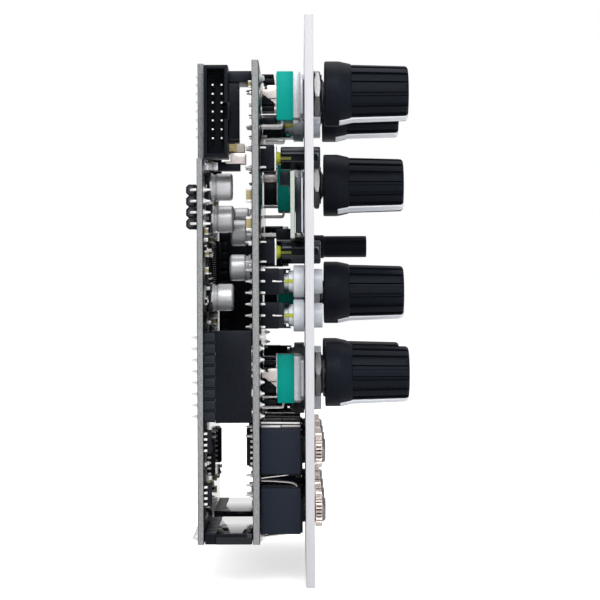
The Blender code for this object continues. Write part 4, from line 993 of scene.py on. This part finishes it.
def show_bus_header():
    """Shrouded header with its mouth at the boards' left edge, a key slot and two rows of pins."""
    low, high = corners_of("bus_header")
    wall = 0.8
    floor = low.x + 6.4
    across = (low.y + high.y) / 2
    up = (low.z + high.z) / 2
    cavity = box(low.x - 1, floor, low.y + wall, high.y - wall, low.z + wall, high.z - wall, 0)
    key = box(low.x - 1, low.x + 5.5, low.y - 1, low.y + wall + SINK, up - 1.8, up + 1.8, 0)
    piece = Piece()
    piece.add("header", carved(node_box("bus_header", 0.15), [cavity, key]))
    piece.add("header", box(low.x + SINK, low.x + 6.5, low.y - 0.4, low.y + 0.2, up - 2.05, up + 2.05, 0.1))
    for y in (across - 1.3, across + 0.7):
        for i in range(BUS_PINS):
            z = up + (i - 3) * BUS_PITCH
            spike = pin(0, 0, -BUS_REACH, SINK, 0.5)
            turn = Matrix.Rotation(math.radians(-90), 4, "Z")
            spike.transform(Matrix.Translation((floor, y, z)) @ turn)
            # The pins' shafts take the dark nickel: painted shade inside the shroud.
            piece.add("dark_nickel_and_painted_shade", spike)
            end = floor - BUS_REACH
            # A white block on each pin's end: a painted glint.
            piece.add("painted_light_tin", box(end - 0.03, end + 0.4, y - 0.18, y + 0.18, z - 0.18, z + 0.18, 0))
    show("bus_header", piece, "black_plastic")


def show_rear_header(pins):
    """Pins bend out of the board near its edge and run through the cells, away from the edge."""
    low, high = corners_of("rear_header")
    across = (low.y + high.y) / 2
    near = across - 1.15
    far = across + 1.15
    start = high.x - 8.5
    half = PITCH / 2 - 0.02
    piece = Piece()
    for x, z in pins:
        outline = ((near, z + half), (far - 0.6, z + half), (far, z + half - 0.6), (far, z - half + 0.6),
                   (far - 0.6, z - half), (near, z - half))
        piece.add("header", sideways(outline, start, start + 2.5, 0.1))
        inner = chamfered(across, z, 1.5, 1.7, 0.4)
        # The cells' inner faces take a lighter black: painted sheen.
        piece.add("painted_sheen_header", sideways(inner, start - 0.03, start + 0.2))
        line = [(x, low.y - 0.1, z), (x, across - 0.55, z), (x + 0.15, across - 0.15, z),
                (x + 0.55, across, z), (high.x - 0.3, across, z)]
        piece.add("tin", wire(line, 0.32, 12))
    show("rear_header", piece, "black_plastic")


# Parts soldered to the boards

# Width, length, height and legs on a side
PACKAGES = {
    "ceramic": (1.6, 3.2, 1.35, 0),
    "driver": (3.9, 5.0, 1.6, 4),
    "amplifier": (3.9, 8.6, 1.6, 7),
    "regulator": (6.6, 6.2, 2.3, 3),
    "codec": (7.0, 7.0, 1.4, 12),
    "processor": (14.0, 14.0, 1.4, 25),
}
# Places across and up, as shares of the board's half width and of its height from the panel's middle
CONTROL_CHIPS = (("ceramic", -0.94, 0.441), ("ceramic", -0.94, 0.322), ("amplifier", -0.75, -0.61),
                 ("amplifier", -0.3, -0.61), ("amplifier", 0.2, -0.61), ("codec", 0.5, 0.63))
MAIN_CHIPS = (("driver", -0.91, -0.58), ("driver", -0.91, -0.8), ("amplifier", -0.5, -0.67),
              ("amplifier", 0.35, -0.67), ("codec", -0.15, -0.37), ("processor", 0.35, 0.15),
              ("regulator", 0.05, 0.63))
CONTROL_CANS = ((-7.45, 16.5), (-13.45, 8.0), (11.55, 20.5))
# Pins of each kind of part, about its middle
PART_PINS = {
    "pot_": ((-2.5, -7.95), (0, -7.95), (2.5, -7.95), (-1.55, 3.2), (1.55, 3.2), (-2.5, 0.4), (2.5, 0.4)),
    "push_switch": ((-3.1, -2.25), (-3.1, 2.25), (3.1, -2.25), (3.1, 2.25)),
    "lit_switch": ((-3, -2.6), (-3, 0), (-3, 2.6), (3, -2.6), (3, 0), (3, 2.6)),
    "jack_": ((0, -5.9), (-2.4, 3.2), (2.4, 3.2), (0, 5.2)),
    "trimmer_body": ((-2.5, -4.0), (0, -4.0), (2.5, -4.0), (-4.2, 3.0), (4.2, 3.0)),
}
# Parts behind the shrouded header: look, ends across, ends in depth, ends up, rounding
TALL_PARTS = (
    ("header", -30.85, -25.85, 15.0, 23.0, 36.5, 50.1, 0.2),
    ("dark_steel", -30.9, -25.8, 14.95, 18.8, 37.0, 37.2, 0),
    ("dark_steel", -30.9, -25.8, 14.95, 18.8, 49.3, 49.5, 0),
    ("tantalum", -30.65, -26.05, 15.5, 23.0, 34.3, 36.25, 0.1),
    # A cream block at the tantalum part's end: painted highlight.
    ("cream", -30.6, -26.1, 13.8, 15.6, 34.05, 36.2, 0.3),
    ("ink", -30.7, -26.0, 16.3, 23.0, 34.05, 34.4, 0),
    ("ink", -30.7, -26.0, 15.9, 23.0, 36.1, 36.45, 0),
)
# The small connector under them: its plug's shell, as seen from the side, and its body in the same terms
PLUG_SHELL = ((13.4, 33.7), (16.9, 33.7), (16.9, 31.85), (18.3, 31.85), (17.75, 31.3), (13.4, 31.3))
PLUG_PARTS = (
    ("header", -33.65, -29.75, 14.7, 19.8, 29.8, 31.75, EDGE),
    ("steel", -33.6, -29.8, 19.75, 20.9, 29.85, 31.7, EDGE),
    ("tin", -32.6, -30.8, 20.8, 22.0, 30.0, 31.6, EDGE),
    ("steel", -33.2, -30.2, 21.95, 23.0, 29.95, 31.65, EDGE),
)


def can(piece, x, z, y, towards, start):
    """An electrolytic capacitor: chamfered black foot, rolled groove, round-edged can, marked top."""
    corners = ((-3.3, -3.3), (2.0, -3.3), (3.3, -2.0), (3.3, 2.0), (2.0, 3.3), (-3.3, 3.3))
    foot = [(x + a, z + b) for a, b in corners]
    piece.add("gloss_black", extruded(foot, *sorted((start, y + towards * 1.0)), 0.15))
    steps = [(2.85, 0.9), (3.15, 1.05), (3.15, 1.4), (2.8, 1.75), (2.8, 2.0), (3.15, 2.35), (3.15, 5.6),
             (2.75, 6.0), (2.4, 5.95), (0.05, 5.92)]
    profile = [(r, y + towards * rise) for r, rise in softened(steps, 0.25)]
    piece.add("can", turned(profile, ROUND, x, z))
    angles = [math.radians(210 + 120 * i / 16) for i in range(17)]
    mark = [(x + 2.35 * math.cos(a), z + 2.35 * math.sin(a)) for a in angles]
    piece.add("ink", extruded(mark, *sorted((y + towards * 5.9, y + towards * 5.97)), 0))
    for side in (-1, 1):
        piece.add("tin", block(x + side * 3.5, z, 1.2, 0.7, y, y + towards * 0.15, 0))
        piece.add("tin", block(x + side * 3.25, z, 0.25, 2.2, y + towards * 0.8, y + towards * 1.3, 0.05))


def ceramic(piece, x, z, y, towards, width, length, depth):
    """A surface-mounted capacitor with its long side upright."""
    cap = length * 0.18
    piece.add("ceramic", block(x, z, width, length - cap, y + towards * 0.05, y + towards * depth, 0.08))
    for side in (-1, 1):
        end = z + side * (length - cap) / 2
        piece.add("tin", block(x, end, width + 0.05, cap, y, y + towards * (depth + 0.03), 0.1))
        piece.add("tin", block(x, end + side * cap * 0.4, width, cap, y, y + towards * depth * 0.3, 0.1))


def leg(x, z, y, towards, reach, width, across_x):
    """One gull-wing leg of a chip, from its side down to the board."""
    made = strip([(0, 0.7), (0.3, 0.68), (0.5, 0.12), (1.0, 0.06)], 0.14, -width / 2, width / 2)
    turn = Matrix.Identity(4)
    turn.col[0] = (0, 0, 1, 0) if across_x else (1, 0, 0, 0)
    turn.col[1] = (reach, 0, 0, 0) if across_x else (0, 0, reach, 0)
    turn.col[2] = (0, towards, 0, 0)
    turn.col[3] = (x, y, z, 1)
    made.transform(turn)
    return finished(made)


def chip(piece, package, x, z, y, towards):
    width, length, depth, legs = PACKAGES[package]
    if not legs:
        ceramic(piece, x, z, y, towards, width, length, depth)
        return
    piece.add("chip", block(x, z, width, length, y + towards * 0.12, y + towards * depth, 0.12))
    dot = sorted((y + towards * (depth - 0.02), y + towards * (depth + 0.01)))
    piece.add("ink", disc(0.3, *dot, 20, x - width * 0.32, z + length * 0.38))
    step = min(1.27, (length - 1.0) / (legs - 1))
    for i in range(legs):
        shift = (i - (legs - 1) / 2) * step
        for side in (-1, 1):
            at = x + side * (width / 2 - 0.05)
            piece.add("tin", leg(at, z + shift, y, towards, side, step * 0.4, True))
            if width == length:
                at = z + side * (length / 2 - 0.05)
                piece.add("tin", leg(x + shift, at, y, towards, side, step * 0.4, False))


def place_chips(piece, chips, y, towards):
    """Puts chips on a board, and returns the places that they take."""
    taken = []
    for package, across, up in chips:
        width, length = PACKAGES[package][:2]
        x = across * BOARD_EDGE
        z = up * (CONTROL_TOP if up > 0 else -BOARD_BOTTOM)
        chip(piece, package, x, z, y, towards)
        taken.append((x, z, width / 2 + 1, length / 2 + 1))
    return taken


def solder(piece, places, y, towards, height, radius, room, taken):
    """Solder joints on the face at y, each with room round it."""
    for x, z in places:
        piece.add("tin", joint(x, z, y, towards, height, radius))
        taken.append((x, z, room, room))


def board_slab(piece, outline, y0, y1):
    """The board itself: masked faces and sawn edges."""
    piece.looks = ["laminate", "mask"]
    slab = extruded(outline, y0, y1, 0.14)
    piece.add_faced(slab, lambda face: "mask" if abs(face.normal.y) > 0.3 else "laminate")


def small_parts(piece, y, towards, count, x_range, z_range, taken):
    """Rows of small resistors and capacitors, kept clear of the places already taken."""
    tries = 0
    while count and tries < 4000:
        tries += 1
        x = round(random.uniform(*x_range))
        z = round(random.uniform(*z_range))
        if any(abs(x - a) < w + 1.3 and abs(z - b) < h + 1.3 for a, b, w, h in taken):
            continue
        upright = random.random() < 0.5
        width, height = (0.8, 1.6) if upright else (1.6, 0.8)
        depth = random.choice((0.45, 0.8))
        look = "ceramic" if depth > 0.5 and upright else "chip"
        piece.add(look, block(x, z, width * 0.96, height * 0.96, y, y + towards * depth, 0.05))
        for side in (-1, 1):
            at = (x, z + side * height * 0.4) if upright else (x + side * width * 0.4, z)
            size = (width, height * 0.22) if upright else (width * 0.22, height)
            piece.add("tin", block(*at, *size, y, y + towards * (depth + 0.03), 0.04))
        taken.append((x, z, width / 2, height / 2))
        count -= 1


def front_pins():
    """Pins of the parts on the front of the control board, which come through to its rear."""
    places = []
    for node in frame["nodes"]:
        x, z = middle("nut_" + node[4:]) if node.startswith("pot_") else middle(node)
        for kind, pins in PART_PINS.items():
            if node.startswith(kind):
                places += [(x + a, z + b) for a, b in pins]
    low, high = corners_of("display_board")
    x = (low.x + high.x) / 2
    spots = [x + (i - (DISPLAY_PINS - 1) / 2) * PITCH for i in range(DISPLAY_PINS)]
    return places + [(spot, low.z + DISPLAY_ROW) for spot in spots]


def show_control_board(rear_pins):
    piece = Piece()
    edge = BOARD_EDGE
    outline = ((-edge, BOARD_BOTTOM), (edge, BOARD_BOTTOM), (edge, CONTROL_TOP), (-edge, CONTROL_TOP))
    board_slab(piece, outline, CONTROL_FRONT, CONTROL_REAR)
    taken = place_chips(piece, CONTROL_CHIPS, CONTROL_REAR, 1)
    for x, z in CONTROL_CANS:
        can(piece, x, z, CONTROL_REAR, 1, CONTROL_REAR - SINK)
        taken.append((x, z, 4, 4))
    solder(piece, front_pins(), CONTROL_REAR, 1, 1.7, 0.72, 1, taken)
    solder(piece, rear_pins, CONTROL_FRONT, -1, 1.1, 0.9, 1.3, taken)
    small_parts(piece, CONTROL_REAR, 1, 90, (2 - edge, edge - 2), (-48, 50), taken)
    show("control_board", piece, "circuit_board")


def show_main_board(pins, front_side_pins):
    piece = Piece()
    edge = BOARD_EDGE
    notch = 4.8 - edge
    foot = 32.1
    outline = ((-edge, BOARD_BOTTOM), (edge, BOARD_BOTTOM), (edge, MAIN_TOP), (notch, MAIN_TOP),
               (notch, foot), (-edge, foot))
    board_slab(piece, outline, MAIN_FRONT, MAIN_REAR)
    taken = place_chips(piece, MAIN_CHIPS, MAIN_FRONT, -1)
    for node in ("capacitor_upper", "capacitor_middle", "capacitor_lower", "bus_header"):
        low, high = corners_of(node)
        taken.append((*middle(node), (high.x - low.x) / 2, (high.z - low.z) / 2))
    for look, *ends in TALL_PARTS:
        piece.add(look, box(*ends))
    piece.add("rose", sideways(PLUG_SHELL, -33.85, -29.55, 0.08))
    for look, *ends in PLUG_PARTS:
        piece.add(look, box(*ends))
    taken += [(-28.35, 42.1, 3.0, 8.5), (-31.7, 31.7, 2.5, 2.5)]
    for pin_place in pins:
        height = 0.65 if pin_place[1] > foot else 1.4
        solder(piece, [pin_place], MAIN_REAR, 1, height, 0.72, 1.5, taken)
    solder(piece, front_side_pins, MAIN_FRONT, -1, 1.7, 0.8, 1.3, taken)
    small_parts(piece, MAIN_FRONT, -1, 120, (5 - edge, edge - 2), (-50, 50), taken)
    via = ((0.28, MAIN_REAR), (0.28, MAIN_REAR + 0.03), (0.02, MAIN_REAR + 0.02))
    for i in range(90):
        x = round(random.uniform(3 - edge, edge - 3) / PITCH) * PITCH
        z = round(random.uniform(BOARD_BOTTOM + 5, MAIN_TOP - 4) / PITCH) * PITCH + 0.4 * PITCH
        if all(abs(x - a) > 2 or abs(z - b) > 2 for a, b in pins):
            piece.add("tin", turned(via, 12, x, z))
    show("main_board", piece, "circuit_board")


# Radius of the panel's hole for each kind of part, and its drop below the part's middle
PANEL_HOLES = {"nut_": (3.9, 0), "jack_": (3.4, JACK_DROP), "lit_cap": (3.425, 0), "push_cap": (3.25, 0),
               "trimmer_shaft": (3.6, 0)}
SCREW_COLUMNS = (7.5, 73.54)  # from the panel's left edge
SCREW_SLOT = (5.2, 3.2)
DISPLAY_WINDOW = (24, 9.6)


def show_panel():
    low, high = corners_of("front_panel")
    soft = 0.2
    cuts = []
    for node in frame["nodes"]:
        for kind, (radius, drop) in PANEL_HOLES.items():
            if node.startswith(kind):
                x, z = middle(node)
                profile = ((radius + 2 * soft, low.y - soft), (radius, low.y + soft),
                           (radius, high.y - soft), (radius + 2 * soft, high.y + soft))
                cuts.append(turned(profile, 72, x, z - drop))
    for x in SCREW_COLUMNS:
        for z in (-MID_Z, MID_Z):
            cuts.append(extruded(stadium(low.x + x, z, *SCREW_SLOT), low.y - 1, high.y + 1, 0))
    cuts.append(block(*middle("display_screen"), *DISPLAY_WINDOW, low.y - 1, high.y + 1, 0))
    piece = Piece()
    piece.add("aluminium", carved(node_box("front_panel", soft), cuts))
    show("front_panel", piece, "aluminium")


# Stage, light and camera

CAMERA_BACK = -430.45  # along X, from the middle of the panel
CAMERA_ACROSS = 1.16
CAMERA_HEIGHT = 61.47  # above the frame's origin
CAMERA_LEAN = math.radians(0.2)
# Place in metres, size and power of each lamp
LAMPS = {
    "key": ((-1.02, 0.01, 0.84), 0.75, 11.0),
    "low": ((-0.5, -0.3, 0.06), 0.4, 1.0),
    "top": ((0.1, -0.05, 0.8), 0.5, 1.6),
    "rear": ((0.55, 0.45, 0.35), 0.45, 2.2),
}


def stage():
    floor_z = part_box("front_panel")[0].z - FLOOR_GAP * MM
    mesh = bpy.data.meshes.new("floor")
    corners = [(a * FLOOR_REACH, b * FLOOR_REACH, floor_z) for a, b in ((-1, -1), (1, -1), (1, 1), (-1, 1))]
    mesh.from_pydata(corners, [], [(0, 1, 2, 3)])
    mesh.materials.append(lit_floor_look())
    floor = bpy.data.objects.new("floor", mesh)
    bpy.context.scene.collection.objects.link(floor)


def world():
    """Pale light all round: white to the camera and to clear pieces, dimmer to one side in gloss."""
    nodes = Nodes(bpy.data.worlds.new("studio"), "Background")
    bpy.context.scene.world = nodes.made
    path = nodes.add("ShaderNodeLightPath").outputs
    across = nodes.add("ShaderNodeSeparateXYZ", Vector=nodes.where("Generated")).outputs[0]
    mirrored = nodes.ranged(across, 0.25, 1.0, -0.6, 0.7)
    strength = WORLD_LIGHT
    for ray, value in (("Is Glossy Ray", mirrored), ("Is Transmission Ray", 0.9), ("Is Camera Ray", 1.0)):
        mix = nodes.add("ShaderNodeMix")
        for place, given in ((0, path[ray]), (2, strength), (3, value)):
            nodes.put(mix.inputs[place], given)
        strength = mix.outputs[0]
    nodes.set(Strength=strength, Color=(1, 1, 1, 1))


def lights():
    aim = Vector((0, 0, MID_Z * MM))
    for name, (place, size, power) in LAMPS.items():
        light = bpy.data.lights.new(name, "AREA")
        light.shape = "SQUARE"
        light.size = size
        light.energy = power
        made = bpy.data.objects.new(name, light)
        made.location = place
        made.rotation_euler = (aim - Vector(place)).to_track_quat("-Z", "Y").to_euler()
        bpy.context.scene.collection.objects.link(made)


def camera():
    lens = bpy.data.cameras.new("camera")
    lens.lens = 104.5
    lens.sensor_width = 36
    made = bpy.data.objects.new("camera", lens)
    made.matrix_world = Matrix((
        (0, 0, -1, CAMERA_BACK * MM),
        (-math.cos(CAMERA_LEAN), -math.sin(CAMERA_LEAN), 0, CAMERA_ACROSS * MM),
        (-math.sin(CAMERA_LEAN), math.cos(CAMERA_LEAN), 0, CAMERA_HEIGHT * MM),
        (0, 0, 0, 1),
    ))
    bpy.context.scene.collection.objects.link(made)
    bpy.context.scene.camera = made
    bpy.context.scene.view_settings.view_transform = "Standard"


# The function that makes each repeated piece, and its finish
SHARED = {
    "knob": (knob, "knob_plastic"),
    "nut": (nut, "nickel"),
    "pot": (pot, "pot_green"),
    "push_switch": (push_switch, "black_plastic"),
    "push_cap": (push_cap, "black_plastic"),
    "lit_switch": (lit_switch, "black_plastic"),
    "lit_cap": (lit_cap, "translucent_cap"),
}


def show_controls():
    shared = {kind: make().mesh(kind) for kind, (make, _) in SHARED.items()}
    centre_pot = pot(centre=True).mesh("pot")
    for node in frame["nodes"]:
        kind = next((kind for kind in SHARED if node.startswith(kind + "_")), None)
        if not kind:
            continue
        place = node[len(kind) + 1:]
        x, z = middle("nut_" + place) if kind in ("knob", "pot", "nut") else middle(node)
        turn = math.radians(NUT_TURNS[place]) if kind == "nut" else 0.0
        if kind == "knob":
            turn = POINTER_REST + (KNOB_LAG if place == "upper_centre" else 0.0)
        mesh = centre_pot if kind == "pot" and place.endswith("centre") else shared[kind]
        show(node, mesh, SHARED[kind][1], x, z, turn)
    x, z = middle("trimmer_body")
    show("trimmer_body", trimmer_body(), "black_plastic", x, z)
    show("trimmer_shaft", trimmer_shaft(), "black_plastic", x, z, POINTER_REST)
    jacks = [jack(lower).mesh("jack") for lower in (False, True)]
    for number in range(1, 9):
        x, z = middle(f"jack_{number}")
        show(f"jack_{number}", jacks[z < JACK_SPLIT], "black_plastic", x, z - JACK_DROP)


def show_headers():
    """Shows the headers, and returns the pins that reach the main board's rear, and the rear header's."""
    rows = {
        "bottom_left": pins_of("bottom_left_socket", 12, True),
        "bottom_right": pins_of("bottom_right_socket", 12, True),
        "edge": pins_of("edge_socket", 8, False),
    }
    for name, pins in rows.items():
        show_socket(name + "_socket", pins)
        show_base(name + "_pins", pins)
    far = pins_of("far_header", 12, False)
    top = pins_of("top_header", 4, True)
    leg_x = corners_of("rear_header")[0].x + 0.32
    rear = [(leg_x, z) for _, z in pins_of("rear_header", 4, False)]
    show_joined("far_header", far)
    show_joined("top_header", top)
    show_bus_header()
    show_rear_header(rear)
    return rows["bottom_left"] + rows["bottom_right"] + rows["edge"] + far + top, rear


def main():
    camera()
    world()
    lights()
    stage()
    show_panel()
    show_controls()
    show_display()
    through, rear = show_headers()
    bus_rear = corners_of("bus_header")[1].x
    bus_z = middle("bus_header")[1]
    bus = [(bus_rear + shift, bus_z + BUS_PITCH * i - 5) for shift in (1, 3) for i in range(BUS_PINS)]
    show_control_board(through)
    show_main_board(through + bus, rear)
    start = MAIN_FRONT - SEAT
    for name in ("upper", "middle", "lower"):
        piece = Piece()
        can(piece, 0, 0, start, -1, start)
        show("capacitor_" + name, piece, "nickel", *middle("capacitor_" + name))


main()
